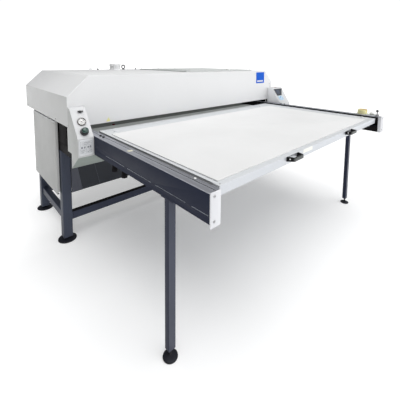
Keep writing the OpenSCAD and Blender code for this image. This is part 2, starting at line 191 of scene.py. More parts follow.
def paint(name, col, rough=0.42, peel=0.00005, var=0.03, edge_wear_and_sheen=None, edge_wear_and_sheen_col=(0.5, 0.5, 0.5), coat=0.0, grain=430, spec=0.35):
    """Powder coat: a fine orange-peel skin, slow changes of tone, and an edge colour broken up by noise: a painted
    highlight along the edges where it is lighter than the paint, paint rubbed thin where it is darker.
    """
    m, nt, b = mat_new(name)
    v = coords(nt)
    slow = remap(nt, noise(nt, v, 1.6, 3), 0.35, 0.65)
    c = mixc(nt, slow, tint(col, 1 - var), tint(col, 1 + var))
    speck = remap(nt, noise(nt, v, 900, 1), 0.35, 0.65, 0.975, 1.0)
    c = mixc(nt, 1.0, c, mixc(nt, speck, (0, 0, 0), (1, 1, 1)), "MULTIPLY")
    r = remap(nt, noise(nt, v, 7, 5, 0.6), 0.3, 0.7, rough - 0.05, rough + 0.07)
    # edge colour: lighter than the paint it is a painted highlight, darker it is paint rubbed thin
    if edge_wear_and_sheen:
        mask = edge_mask(nt, edge_wear_and_sheen, v, 0.06)
        c = mixc(nt, mask, c, edge_wear_and_sheen_col)
        r = calc(nt, "SUBTRACT", r, calc(nt, "MULTIPLY", mask, 0.12))
    nt.links.new(c, b.inputs["Base Color"])
    nt.links.new(r, b.inputs["Roughness"])
    b.inputs["Specular IOR Level"].default_value = spec
    b.inputs["Coat Weight"].default_value = coat
    b.inputs["Coat Roughness"].default_value = 0.25
    skin = bumped(nt, b, noise(nt, v, grain, 2), peel, 0.7)
    bumped(nt, b, noise(nt, v, 9, 2), 0.0006, 0.25, under=skin)
    return m


def metal(name, col, rough=0.32, along=None, var=0.05, bump=0.00002, aniso=0.0, stain=0.0, stain_col=(0.3, 0.25, 0.18)):
    """Bare or anodised metal. along is the axis the grain runs along, or None for cast, ground or plated metal."""
    m, nt, b = mat_new(name)
    s = {"x": (3, 900, 900), "y": (900, 3, 900), "z": (900, 900, 3), None: (300, 300, 300)}[along]
    v = coords(nt)
    line = noise(nt, coords(nt, s), 1.0, 3, 0.6)
    c = mixc(nt, remap(nt, line, 0.3, 0.7), tint(col, 1 - var), tint(col, 1 + var))
    cloud = remap(nt, noise(nt, v, 5, 4), 0.4, 0.62)
    if stain:
        c = mixc(nt, calc(nt, "MULTIPLY", cloud, stain), c, stain_col)
    r = calc(nt, "ADD", remap(nt, line, 0.3, 0.7, rough - 0.06, rough + 0.06), remap(nt, cloud, 0, 1, 0.0, 0.05))
    nt.links.new(c, b.inputs["Base Color"])
    nt.links.new(r, b.inputs["Roughness"])
    b.inputs["Metallic"].default_value = 1.0
    b.inputs["Anisotropic"].default_value = aniso
    bumped(nt, b, line, bump, 0.6)
    return m


def plastic(name, col, rough=0.4, grain=0.00003, var=0.03, scale=1600, coat=0.0):
    """Moulded plastic: an eroded grain, small changes of tone and gloss."""
    m, nt, b = mat_new(name)
    v = coords(nt)
    c = mixc(nt, remap(nt, noise(nt, v, 30, 3), 0.35, 0.65), tint(col, 1 - var), tint(col, 1 + var))
    r = remap(nt, noise(nt, v, 60, 4), 0.3, 0.7, rough - 0.05, rough + 0.07)
    nt.links.new(c, b.inputs["Base Color"])
    nt.links.new(r, b.inputs["Roughness"])
    b.inputs["Coat Weight"].default_value = coat
    b.inputs["Coat Roughness"].default_value = 0.12
    bumped(nt, b, noise(nt, v, scale, 2), grain, 0.6)
    return m


def board_mat():
    """The work board's white silicone skin: a shallow canvas print and a matt, slightly mottled face."""
    m, nt, b = mat_new("white_board")
    v = coords(nt)
    slow = remap(nt, noise(nt, v, 2.2, 4), 0.35, 0.65)
    c = mixc(nt, slow, (0.68, 0.68, 0.677), (0.71, 0.71, 0.708))
    waves = []
    for k, s in (("X", (1, 1, 1)), ("Y", (1, 1, 1))):
        w = nt.nodes.new("ShaderNodeTexWave")
        w.bands_direction = k
        w.inputs["Scale"].default_value = 250
        w.inputs["Distortion"].default_value = 0.6
        w.inputs["Detail"].default_value = 1
        w.inputs["Detail Scale"].default_value = 3
        nt.links.new(coords(nt, s), w.inputs["Vector"])
        waves.append(w.outputs["Fac"])
    weave = calc(nt, "MAXIMUM", waves[0], waves[1])
    c = mixc(nt, remap(nt, weave, 0, 1, 0.0, 0.05), c, (0.61, 0.61, 0.605))
    nt.links.new(c, b.inputs["Base Color"])
    nt.links.new(remap(nt, noise(nt, v, 12, 4), 0.3, 0.7, 0.55, 0.68), b.inputs["Roughness"])
    b.inputs["Specular IOR Level"].default_value = 0.35
    under = bumped(nt, b, weave, 0.00008, 0.5)
    bumped(nt, b, noise(nt, v, 700, 2), 0.00004, 0.5, under=under)
    return m


def rubber(name, col):
    m, nt, b = mat_new(name)
    v = coords(nt)
    dust = remap(nt, noise(nt, v, 40, 5, 0.65), 0.45, 0.75)
    nt.links.new(mixc(nt, dust, col, tuple(0.5 * c + 0.06 for c in col)), b.inputs["Base Color"])
    nt.links.new(remap(nt, dust, 0, 1, 0.55, 0.85), b.inputs["Roughness"])
    b.inputs["Specular IOR Level"].default_value = 0.3
    bumped(nt, b, noise(nt, v, 500, 3), 0.00008, 0.7)
    return m


def glass(name, col=(1, 1, 1), rough=0.02):
    m, nt, b = mat_new(name)
    v = coords(nt)
    nt.links.new(remap(nt, noise(nt, v, 90, 4), 0.45, 0.75, rough, rough + 0.06), b.inputs["Roughness"])
    b.inputs["Base Color"].default_value = (*col, 1)
    b.inputs["Transmission Weight"].default_value = 1.0
    b.inputs["IOR"].default_value = 1.46
    return m


def screen_mat(name, col, glow=0.0):
    m, nt, b = mat_new(name)
    v = coords(nt)
    c = mixc(nt, remap(nt, noise(nt, v, 25, 3), 0.35, 0.65), tint(col, 0.9), tint(col, 1.1))
    nt.links.new(c, b.inputs["Base Color"])
    nt.links.new(remap(nt, noise(nt, v, 120, 5, 0.7), 0.5, 0.75, 0.07, 0.2), b.inputs["Roughness"])
    b.inputs["Specular IOR Level"].default_value = 0.2
    b.inputs["Coat Weight"].default_value = 0.06
    b.inputs["Coat Roughness"].default_value = 0.05
    return m


MAT = {
    "hood_paint": paint("hood_paint", (0.755, 0.758, 0.762), 0.42, edge_wear_and_sheen=0.0012, edge_wear_and_sheen_col=(0.70, 0.70, 0.69), var=0.012),
    "navy_paint": paint("navy_paint", (0.032, 0.038, 0.062), 0.42, spec=0.2, peel=0.00006, edge_wear_and_sheen=0.0018, edge_wear_and_sheen_col=(0.16, 0.17, 0.19), var=0.10),
    "dark_paint": paint("dark_paint", (0.028, 0.031, 0.038), 0.45, spec=0.2, edge_wear_and_sheen=0.0015, edge_wear_and_sheen_col=(0.14, 0.14, 0.15), var=0.08),
    "post_paint": paint("post_paint", (0.045, 0.053, 0.078), 0.42, spec=0.2, peel=0.00006, edge_wear_and_sheen=0.0018, edge_wear_and_sheen_col=(0.16, 0.17, 0.19), var=0.10),
    "navy_front_lit": paint("navy_front_lit", (0.052, 0.058, 0.084), 0.42, spec=0.2, peel=0.00006, edge_wear_and_sheen=0.0018, edge_wear_and_sheen_col=(0.18, 0.19, 0.21), var=0.10),
    "shade_paint": paint("shade_paint", (0.011, 0.010, 0.011), 0.6, spec=0.05, edge_wear_and_sheen=0.0012, edge_wear_and_sheen_col=(0.06, 0.06, 0.065), var=0.08),
    "column_paint": paint("column_paint", (0.57, 0.575, 0.583), 0.42, edge_wear_and_sheen=0.0012, edge_wear_and_sheen_col=(0.60, 0.60, 0.595), var=0.012),
    "column_side_shade": paint("column_side_shade", (0.44, 0.45, 0.44), 0.42, edge_wear_and_sheen=0.0012, edge_wear_and_sheen_col=(0.40, 0.40, 0.39), var=0.015),
    "cover_front_lit": paint("cover_front_lit", (0.55, 0.555, 0.545), 0.42, edge_wear_and_sheen=0.0012, edge_wear_and_sheen_col=(0.46, 0.46, 0.45), var=0.02),
    "deflector_paint": paint("deflector_paint", (0.25, 0.285, 0.262), 0.36, edge_wear_and_sheen=0.0012, edge_wear_and_sheen_col=(0.5, 0.52, 0.5), var=0.06),
    "strip_grey": paint("strip_grey", (0.62, 0.64, 0.64), 0.5, edge_wear_and_sheen=0.001, var=0.03),
    "bed_grey_glow": paint("bed_grey_glow", (0.30, 0.315, 0.305), 0.5, spec=0.2, edge_wear_and_sheen=0.001, edge_wear_and_sheen_col=(0.36, 0.36, 0.36), var=0.05),
    "beam_paint": paint("beam_paint", (0.019, 0.023, 0.042), 0.48, spec=0.10, peel=0.00006, edge_wear_and_sheen=0.0018, edge_wear_and_sheen_col=(0.13, 0.14, 0.16), var=0.10),
    "service_paint": paint("service_paint", (0.58, 0.60, 0.59), 0.42, edge_wear_and_sheen=0.0012, edge_wear_and_sheen_col=(0.55, 0.56, 0.55), var=0.015),
    "handle_black": paint("handle_black", (0.010, 0.010, 0.011), 0.5, spec=0.08, peel=0.00003, var=0.06),
    "leg_paint": paint("leg_paint", (0.024, 0.029, 0.052), 0.46, spec=0.12, peel=0.00006, edge_wear_and_sheen=0.0018, edge_wear_and_sheen_col=(0.15, 0.16, 0.18), var=0.10),
    "roof_shade_paint": paint("roof_shade_paint", (0.66, 0.663, 0.664), 0.42, edge_wear_and_sheen=0.0012, edge_wear_and_sheen_col=(0.60, 0.60, 0.59), var=0.012),
    "pod_side_lit": paint("pod_side_lit", (0.91, 0.915, 0.92), 0.42, edge_wear_and_sheen=0.0012, edge_wear_and_sheen_col=(0.75, 0.75, 0.75), var=0.01),
    "foot_dish": paint("foot_dish", (0.013, 0.014, 0.020), 0.5, spec=0.18, var=0.08),
    "panel_black": plastic("panel_black", (0.030, 0.030, 0.034), 0.6),
    "rail_grey": paint("rail_grey", (0.38, 0.385, 0.39), 0.42, edge_wear_and_sheen=0.001, edge_wear_and_sheen_col=(0.45, 0.45, 0.45), var=0.05),
    "red_dark": plastic("red_dark", (0.22, 0.02, 0.03), 0.35),
    "handle_front_lit": plastic("handle_front_lit", (0.055, 0.060, 0.058), 0.34),
    "zinc_bright": metal("zinc_bright", (0.75, 0.75, 0.76), 0.3, var=0.05, bump=0.00002),
    "pale_tape": plastic("pale_tape", (0.84, 0.84, 0.78), 0.5),
    "table_top_face": plastic("table_top_face", (0.55, 0.565, 0.58), 0.46, grain=0.00001, var=0.02),
    "end_shade_paint": paint("end_shade_paint", (0.565, 0.57, 0.565), 0.42, edge_wear_and_sheen=0.0012, edge_wear_and_sheen_col=(0.55, 0.55, 0.54), var=0.015),
    "cover_grey_and_shade": paint("cover_grey_and_shade", (0.385, 0.39, 0.382), 0.42, edge_wear_and_sheen=0.0012, edge_wear_and_sheen_col=(0.42, 0.42, 0.41), var=0.02),
    "grey_paint": paint("grey_paint", (0.50, 0.525, 0.51), 0.42, edge_wear_and_sheen=0.0012, edge_wear_and_sheen_col=(0.62, 0.63, 0.62)),
    "white_cap": paint("white_cap", (0.70, 0.705, 0.73), 0.38, edge_wear_and_sheen=0.001, edge_wear_and_sheen_col=(0.66, 0.67, 0.68), var=0.012),
    "shoulder_paint": paint("shoulder_paint", (0.062, 0.066, 0.085), 0.38, edge_wear_and_sheen=0.0015, edge_wear_and_sheen_col=(0.2, 0.2, 0.22), var=0.06),
    "foot_black": rubber("foot_black", (0.022, 0.022, 0.024)),
    "rail_aluminium": metal("rail_aluminium", (0.44, 0.45, 0.49), 0.42, along="y", aniso=0.4),
    "groove_line": metal("groove_line", (0.38, 0.40, 0.44), 0.45, along="y"),
    "black_steel": metal("black_steel", (0.050, 0.050, 0.055), 0.42, var=0.2, bump=0.00004),
    "cylinder_aluminium": metal("cylinder_aluminium", (0.66, 0.67, 0.69), 0.36, along="z"),
    "bronze": metal("bronze", (0.62, 0.44, 0.20), 0.30, stain=0.35, stain_col=(0.32, 0.2, 0.1)),
    "chrome_ring": metal("chrome_ring", (0.17, 0.155, 0.145), 0.25, var=0.04, bump=0.00001),
    "black_plastic": plastic("black_plastic", (0.022, 0.022, 0.024), 0.38),
    "screen_black": screen_mat("screen_black", (0.022, 0.028, 0.040)),
    "zinc_screws": metal("zinc_screws", (0.48, 0.48, 0.49), 0.34, var=0.08, bump=0.00003),
    "yellow_plastic": plastic("yellow_plastic", (0.97, 0.91, 0.48), 0.40, coat=0.1),
    "table_aluminium": metal("table_aluminium", (0.67, 0.69, 0.72), 0.46, along="x", var=0.025, aniso=0.3),
    "table_aluminium_y": metal("table_aluminium_y", (0.70, 0.725, 0.76), 0.46, along="y", var=0.025, aniso=0.3),
    "white_board": board_mat(),
    "bearing_steel": metal("bearing_steel", (0.58, 0.58, 0.60), 0.2, var=0.03, bump=0.00001),
    "plate_aluminium": metal("plate_aluminium", (0.34, 0.335, 0.33), 0.42, along="x", stain=0.5, stain_col=(0.22, 0.19, 0.15)),
    "rod_chrome": metal("rod_chrome", (0.80, 0.81, 0.82), 0.10, var=0.02, bump=0.000004),
    "green_plastic": plastic("green_plastic", (0.005, 0.040, 0.028), 0.22, coat=0.5),
    "needle_red": paint("needle_red", (0.10, 0.018, 0.014), 0.3, peel=0.00001),
    "red_plastic": plastic("red_plastic", (0.58, 0.02, 0.015), 0.25, coat=0.4),
    "white_plastic": plastic("white_plastic", (0.80, 0.80, 0.78), 0.28, coat=0.3),
    "dial_white": plastic("dial_white", (0.82, 0.82, 0.80), 0.5, var=0.012),
    "ink": plastic("ink", (0.02, 0.02, 0.022), 0.5),
    "plate_print": plastic("plate_print", (0.24, 0.25, 0.28), 0.5),
    "plate_white": plastic("plate_white", (0.72, 0.735, 0.755), 0.35, var=0.012),
    "badge_blue": plastic("badge_blue", (0.003, 0.108, 0.62), 0.5, coat=0.0),
    "key_blue": plastic("key_blue", (0.15, 0.33, 0.60), 0.3),
    "key_pale": plastic("key_pale", (0.42, 0.56, 0.68), 0.34),
    "panel_pale": plastic("panel_pale", (0.46, 0.58, 0.66), 0.36),
    "sticker_yellow": plastic("sticker_yellow", (0.78, 0.745, 0.33), 0.4),
    "cream_tape": plastic("cream_tape", (0.62, 0.60, 0.48), 0.55),
    "lcd_grey": screen_mat("lcd_grey", (0.030, 0.042, 0.070)),
    "gauge_glass": glass("gauge_glass"),
    "seal_rubber": rubber("seal_rubber", (0.03, 0.03, 0.03)),
}

next(n for n in MAT["badge_blue"].node_tree.nodes if n.type == "BSDF_PRINCIPLED").inputs["Specular IOR Level"].default_value = 0.15

# painted light: the bed's strip and supports glow faintly, standing in for the light that reaches into the throat
for name, level in (("strip_grey", 0.20), ("bed_grey_glow", 0.048)):
    bsdf = next(n for n in MAT[name].node_tree.nodes if n.type == "BSDF_PRINCIPLED")
    bsdf.inputs["Emission Color"].default_value = (0.94, 1.0, 0.98, 1)
    bsdf.inputs["Emission Strength"].default_value = level



# ------------------------------------------------------------------ mesh helpers
class Kit:
    """A mesh built in local millimetres and put into the frame by M."""

    def __init__(self, M=M0):
        self.bm, self.M, self.mi = bmesh.new(), M, 0

    def verts(self, pts):
        return [self.bm.verts.new(self.M @ Vector(p)) for p in pts]

    def face(self, vs):
        f = self.bm.faces.new(vs)
        f.material_index = self.mi
        return f

    def loft(self, rings, cap0=True, cap1=True, wrap=False):
        vr = [self.verts(r) for r in rings]
        n = len(vr[0])
        pairs = list(zip(vr, vr[1:])) + ([(vr[-1], vr[0])] if wrap else [])
        for a, b in pairs:
            for i in range(n):
                j = (i + 1) % n
                self.face((a[i], a[j], b[j], b[i]))
        if not wrap:
            if cap0:
                self.face(list(reversed(vr[0])))
            if cap1:
                self.face(vr[-1])
        return self

    def box(self, a, b):
        (x0, y0, z0), (x1, y1, z1) = a, b
        r = [(x0, y0), (x1, y0), (x1, y1), (x0, y1)]
        return self.loft([[(x, y, z0) for x, y in r], [(x, y, z1) for x, y in r]])

    def prism(self, pts, plane, a, b):
        """A polygon in plane xy, xz or yz, carried from a to b along the third axis."""
        def p(u, v, w):
            return {"xy": (u, v, w), "xz": (u, w, v), "yz": (w, u, v)}[plane]
        return self.loft([[p(u, v, a) for u, v in pts], [p(u, v, b) for u, v in pts]])

    def lathe(self, prof, n=48, c=(0, 0, 0)):
        """(radius, height) pairs turned about local Z; radius 0 closes the end."""
        rings, tips = [], []
        for r, h in prof:
            if r <= 1e-6:
                rings.append(self.verts([(c[0], c[1], c[2] + h)]))
            else:
                rings.append(self.verts([(c[0] + r * math.cos(2 * math.pi * i / n), c[1] + r * math.sin(2 * math.pi * i / n), c[2] + h) for i in range(n)]))
        for a, b in zip(rings, rings[1:]):
            for i in range(n):
                j = (i + 1) % n
                if len(a) == 1 and len(b) == 1:
                    continue
                if len(a) == 1:
                    self.face((a[0], b[j], b[i]))
                elif len(b) == 1:
                    self.face((a[i], a[j], b[0]))
                else:
                    self.face((a[i], a[j], b[j], b[i]))
        return self

    def sweep(self, path, r, n=14, closed=False):
        """A round bar along local points."""
        pts = [Vector(p) for p in path]
        rings, up = [], None
        m = len(pts)
        for k in range(m):
            a = pts[(k - 1) % m] if closed or k else pts[k]
            b = pts[(k + 1) % m] if closed or k < m - 1 else pts[k]
            t = (b - a).normalized()
            if up is None:
                up = t.orthogonal().normalized()
            up = (up - t * up.dot(t)).normalized()
            side = t.cross(up)
            rings.append([pts[k] + r * (math.cos(2 * math.pi * i / n) * up + math.sin(2 * math.pi * i / n) * side) for i in range(n)])
        return self.loft(rings, wrap=closed)

    def rrect(self, x0, x1, y0, y1, z0, z1, axis, r, cham=0.8, n=5):
        """A square tube's rounded outside, as a closed bar with small chamfers on its ends."""
        lo, hi = (x0, y0, z0), (x1, y1, z1)
        k = "xyz".index(axis)
        u, v = [i for i in range(3) if i != k]

        def ring(inset, w):
            out = []
            rr = max(r - inset, 0.3)
            cu0, cu1 = lo[u] + inset + rr, hi[u] - inset - rr
            cv0, cv1 = lo[v] + inset + rr, hi[v] - inset - rr
            for cu, cv, a0 in ((cu1, cv1, 0), (cu0, cv1, 90), (cu0, cv0, 180), (cu1, cv0, 270)):
                for i in range(n + 1):
                    a = math.radians(a0 + 90 * i / n)
                    p = [0, 0, 0]
                    p[u], p[v], p[k] = cu + rr * math.cos(a), cv + rr * math.sin(a), w
                    out.append(tuple(p))
            return out
        return self.loft([ring(cham, lo[k]), ring(0, lo[k] + cham), ring(0, hi[k] - cham), ring(cham, hi[k])])

    def done(self, name, mats, body="machine", bevel=0.0004, seg=2, replaces=(), angle=35):
        bmesh.ops.recalc_face_normals(self.bm, faces=self.bm.faces)
        for f in self.bm.faces:
            f.smooth = True
        if not bevel:
            for e in self.bm.edges:
                if len(e.link_faces) == 2 and e.calc_face_angle(0) > math.radians(angle):
                    e.smooth = False
        me = bpy.data.meshes.new(name)
        self.bm.to_mesh(me)
        self.bm.free()
        o = bpy.data.objects.new(name, me)
        bpy.context.scene.collection.objects.link(o)
        for m in ([mats] if isinstance(mats, str) else mats):
            me.materials.append(MAT[m])
        if bevel:
            add_bevel(o, bevel, seg, angle)
        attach(o, body)
        if replaces:
            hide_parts(*([replaces] if isinstance(replaces, str) else replaces))
        return o


def add_bevel(o, width, seg, angle=35):
    b = o.modifiers.new("edges", "BEVEL")
    b.width, b.segments, b.limit_method = width, seg, "ANGLE"
    b.angle_limit = math.radians(angle)
    b.use_clamp_overlap = True
    b.harden_normals = True
    b.miter_outer = "MITER_ARC"


def remake(node, bevel=0.0008, seg=2, mats=None, pick=None, angle=35, merge=True):
    """The CAD node's own shape with its seams joined, flat faces merged and edges eased, as a new piece."""
    src = frame["nodes"][node]
    bm = bmesh.new()
    bm.from_mesh(src.data)
    bmesh.ops.remove_doubles(bm, verts=bm.verts, dist=1e-5)
    if merge:  # off for a sheet with many slots, whose flat faces shade cleanly only as triangles
        bmesh.ops.dissolve_limit(bm, angle_limit=math.radians(0.4), verts=bm.verts, edges=bm.edges, delimit={"NORMAL"})
    bmesh.ops.recalc_face_normals(bm, faces=bm.faces)
    for f in bm.faces:
        f.smooth = True
        f.material_index = 0
    inv = M0.inverted()
    if pick:
        for f in bm.faces:
            c = inv @ f.calc_center_median()
            f.material_index = pick(c, f.normal)
    if not bevel:
        for e in bm.edges:
            if len(e.link_faces) == 2 and e.calc_face_angle(0) > math.radians(angle):
                e.smooth = False
    me = bpy.data.meshes.new("v_" + node)
    bm.to_mesh(me)
    bm.free()
    o = bpy.data.objects.new("v_" + node, me)
    bpy.context.scene.collection.objects.link(o)
    for m in (mats or [SLOT[node]]):
        me.materials.append(MAT[m])
    if bevel:
        add_bevel(o, bevel, seg, angle)
    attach(o, src["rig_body"])
    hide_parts(node)
    return o


def screw(kit, r=5.0, h=3.0, hexa=2.4, depth=1.6):
    n = 24
    ring = lambda rr, z, m=n: [(rr * math.cos(2 * math.pi * i / m), rr * math.sin(2 * math.pi * i / m), z) for i in range(m)]
    hx = [(hexa / math.cos(math.radians((i * 15 + 0) % 60 - 30)) * math.cos(math.radians(i * 15)), hexa / math.cos(math.radians((i * 15) % 60 - 30)) * math.sin(math.radians(i * 15))) for i in range(n)]
    rings = [ring(r, -0.4), ring(r, 0.25 * h), ring(0.93 * r, 0.55 * h), ring(0.78 * r, 0.83 * h), ring(0.58 * r, h), [(x, y, h) for x, y in hx], [(x, y, h - depth) for x, y in hx]]
    kit.loft(rings)


def screws(name, spots, mat="zinc_screws", body="machine", r=5.0, h=3.0, hexa=2.4, replaces=()):
    """Many screws as one piece. spots: (x, y, z, axis)."""
    k = Kit()
    for x, y, z, ax in spots:
        k.M = toward(x, y, z, ax)
        screw(k, r, h, hexa)
    return k.done(name, mat, body, bevel=0, replaces=replaces)


# ------------------------------------------------------------------ camera (first, as the view decides the rest)
def make_camera():
    x, y, z = -1.77378, -1.91429, 1.37735
    yaw, pitch, roll = 0.756312, 0.092937, 0.0101245
    f, px, py = 277.883, 203.381, 87.382
    fwd = Vector((math.sin(yaw) * math.cos(pitch), math.cos(yaw) * math.cos(pitch), -math.sin(pitch)))
    right = Vector((math.cos(yaw), -math.sin(yaw), 0))
    up = right.cross(fwd)
    r2 = math.cos(roll) * right + math.sin(roll) * up
    u2 = -math.sin(roll) * right + math.cos(roll) * up
    cam = bpy.data.cameras.new("view")
    cam.sensor_width = 36
    cam.lens = f * 36 / 400
    cam.shift_x = (200 - px) / 400
    cam.shift_y = (py - 200) / 400
    cam.clip_start, cam.clip_end = 0.05, 200
    o = bpy.data.objects.new("view", cam)
    o.matrix_world = Matrix.Translation((x + OX, y + OY, z)) @ Matrix((r2, u2, -fwd)).transposed().to_4x4()
    bpy.context.scene.collection.objects.link(o)
    bpy.context.scene.camera = o


make_camera()


# ------------------------------------------------------------------ base frame
def base_frame():
    px, yf, yr, p = 1133, 284, 910, 33
    k = Kit()
    for sx in (-1, 1):
        for y in (yf, yr):
            k.rrect(sx * px - p, sx * px + p, y - p, y + p, 26, 709, "z", 6)
    k.done("frame_posts", "post_paint", bevel=0, replaces="base_posts")
    k = Kit()
    for sx in (-1, 1):
        k.rrect(sx * px - p, sx * px + p, 60, 1010, 709, 779, "y", 6)
    for y in (yf, yr):
        k.rrect(-px + p, px - p, y - p, y + p, 709, 779, "x", 6)
    k.done("frame_top_rails", "shade_paint", bevel=0, replaces="base_rails")
    k = Kit()
    for sx in (-1, 1):
        a, b = sorted((sx * (px - 24), sx * (px + 22)))
        k.rrect(a, b, yf + p, yr - p, 153, 211, "y", 4)
    for y in (yf, yr):
        k.rrect(-px + p, px - p, y - 24, y + 24, 153, 211, "x", 4)
    k.done("frame_stretchers", "navy_paint", bevel=0, replaces="base_stretchers")
    k = Kit()
    for y in (yf, yr):
        k.box((-px + p + 3, y - 22, 210.9), (px - p - 3, y + 22, 211.4))
    k.done("stretcher_tops", "shade_paint", bevel=0)
    # weld seams where stretchers and rails meet the posts
    k = Kit()
    z0, z1 = 153, 211
    for sx in (-1, 1):
        a, b = sorted((sx * (px - 24), sx * (px + 22)))
        for y, d in ((yf, 1), (yr, -1)):
            yy = y + d * p
            k.sweep([(a + 3, yy, z0), (b - 3, yy, z0), (b, yy, z0 + 3), (b, yy, z1 - 3), (b - 3, yy, z1), (a + 3, yy, z1), (a, yy, z1 - 3), (a, yy, z0 + 3)], 2.2, 8, closed=True)
            xx = sx * (px - p)
            k.sweep([(xx, y - 21, z0), (xx, y + 21, z0), (xx, y + 24, z0 + 3), (xx, y + 24, z1 - 3), (xx, y + 21, z1), (xx, y - 21, z1), (xx, y - 24, z1 - 3), (xx, y - 24, z0 + 3)], 2.2, 8, closed=True)
    k.done("frame_welds", "navy_paint", bevel=0)
    # plastic plugs in the open ends of the top rails
    k = Kit()
    for sx in (-1, 1):
        for y, d in ((60, -1), (1010, 1)):
            y0, y1 = sorted((y, y + d * 2.5))
            k.rrect(sx * px - p + 0.6, sx * px + p - 0.6, y0, y1, 709.6, 778.4, "y", 6, cham=1.2)
    k.done("rail_plugs", "black_plastic", bevel=0)

    # the apron's end plates in front of the posts take a lighter navy than the rest: painted light
    remake("apron_panel", 0.0008, mats=["dark_paint", "shoulder_paint"], pick=lambda c, n: 1 if c.y < 250.9 and abs(c.x) > 1015 else 0)
    # a thin lighter line down the apron: a painted highlight along a bend in the sheet
    k = Kit()
    a0, a1 = (-943.9, 648.8), (-879.5, 372)
    for w, h in ((1.3, 0.5),):
        k.prism([(a0[0] - w, a0[1]), (a0[0] + w, a0[1]), (a1[0] + w, a1[1]), (a1[0] - w, a1[1])], "xz", 250.4, 251.1)
    k.done("apron_bend_highlight", "shoulder_paint", bevel=0)
    screws("apron_screws", [(x, 251, z, (0, -1, 0)) for z in (690,) for x in (-1000, -500, 0, 500, 1000)], "zinc_screws", r=5, h=2.6)

    # levelling feet: a dished plate with a rubber ring, a swivel neck, a threaded stud and its nut
    k = Kit()
    for sx in (-1, 1):
        for x, y, R, h, top, sr in ((1133, 284, 66, 11, 26, 9), (1133, 910, 66, 11, 26, 9), (1068, -959, 36, 12, 45, 6)):
            k.M = place(sx * x, y, 0)
            k.mi = 1
            k.lathe([(0, 0), (R - 2.5, 0), (R - 0.6, 1.2), (R, 3), (R - 0.8, 4.2), (R - 3, 4.4)], 64)
            k.mi = 0
            k.lathe([(R - 1.2, 4.2), (R - 0.8, 6.2), (R - 3, 8.4), (R * 0.72, h - 0.8), (R * 0.55, h + 0.4), (sr * 2.0, h + 2.6), (sr * 1.62, h + 3.6), (sr * 1.5, h + 4.2), (0, h + 4.2)], 64)
            prof = []
            z = h + 2
            while z < top - 0.9:
                prof += [(sr, z), (sr - 0.9, z + 0.55), (sr, z + 1.1)]
                z += 1.1
            k.mi = 2
            k.lathe(prof + [(0, z)], 32)
            k.loft([[(sr * q * math.cos(math.radians(60 * i)), sr * q * math.sin(math.radians(60 * i)), zz) for i in range(6)] for q, zz in ((1.62, top - 8), (1.8, top - 7.2), (1.8, top - 0.9), (1.6, top - 0.1))])
    k.M = M0
    k.done("levelling_foot_sets", ["foot_dish", "foot_black", "black_steel"], bevel=0, replaces="levelling_feet")

    # table legs with their top plates and bolts
    # the legs' front faces take a lighter navy than their other faces: painted light
    remake("table_legs", 0.0014, 3, mats=["leg_paint", "navy_front_lit"], pick=lambda c, n: 1 if n.y < -0.9 else 0)
    k = Kit()
    for sx in (-1, 1):
        for y in (-996, -922):
            k.M = toward(sx * 1068, y, 772, (0, 0, -1))
            screw(k, 6, 4, 3)
    k.done("leg_plate_screws", "zinc_screws", bevel=0)
    remake("beam_fixing_bolts", 0.0008, mats=["shade_paint"])
    # the bed supports and the strip on their front glow faintly: painted light inside the throat
    remake("bed_supports", 0.001, mats=["bed_grey_glow"])
    k = Kit()
    k.rrect(-984, 984, 34, 222, 846.4, 847.6, "z", 4, cham=0.4)
    k.done("bed_front_strip", "strip_grey", bevel=0)
    k = Kit(place(-759, 240, 846.5))
    k.lathe([(0, 0), (11, 0), (11, 7), (9.6, 8.6), (0, 9)], 32)
    k.done("bed_marker_cap", "red_dark", bevel=0)


base_frame()


# ------------------------------------------------------------------ slide beams
def slide_beams():
    groove = lambda c, n: 1 if (809.4 < c.z < 812.1 and 1085 < abs(c.x) < 1088.9) else 0
    for s in ("left", "right"):
        inside = 2 if s == "right" else 0
        remake(s + "_slide_beam", 0.0007, mats=["beam_paint", "groove_line", "shade_paint"], pick=lambda c, n: groove(c, n) or (inside if n.x < -0.5 or n.z < -0.5 else 0))
    remake("rail_strips", 0.0004, mats=["rail_aluminium", "seal_rubber"], pick=lambda c, n: 1 if c.z < 899.4 and 1050 < abs(c.x) < 1060 else 0)
    remake("beam_end_caps", 0.0008)
    screws("cap_screws", [(sx * 1069, -1233, z, (0, -1, 0)) for sx in (-1, 1) for z in (787, 885)], "zinc_screws", r=6, h=2.8, hexa=2.6)
    # rubber stops, brackets and the pivot pin on top of the rails
    remake("rail_top_fittings", 0.0007, mats=["black_steel", "zinc_screws"], pick=lambda c, n: 1 if c.y < -1150 else 0)
    # near-black sheets at the throat's ends: painted shade that closes the view through the machine there
    k = Kit()
    for sx in (-1, 1):
        a, b = sorted((sx * 1094, sx * 1096))
        k.box((a, 20, 862), (b, 286, 930))
        a, b = sorted((sx * 1140, sx * 1170.5))
        k.box((a, 297, 782), (b, 299, 921))
    k.box((1094, 15, 862), (1182, 17, 930))
    k.done("throat_end_shade_plates", "shade_paint", bevel=0.0003)
    k = Kit()
    for sx in (-1, 1):
        for y in (-217, -262):
            k.M = place(sx * 1063, y, 906)
            screw(k, 5.4, 2.2, 2.2, 1.2)
    k.done("rail_stop_screws", "seal_rubber", bevel=0)
    k = Kit()
    k.rrect(-1080, -1052, -613, -589, 900.0, 900.7, "z", 1.5, cham=0.2)
    k.done("rail_marker", "cream_tape", bevel=0)
    # a white disc on the rail: a painted glint of a screw head
    k = Kit(place(-1041, -1094, 900))
    k.lathe([(0, 0), (6, 0), (6, 1.0), (5, 1.8), (0, 2.1)], 24)
    k.done("rail_screw_glint", "white_plastic", bevel=0)
    # rivet heads along the inner lower flange
    screws("beam_side_screws", [(sx * 1089, y, 850, (sx, 0, 0)) for sx in (-1, 1) for y in (20, 150)], "black_steel", r=5, h=2.6)


slide_beams()


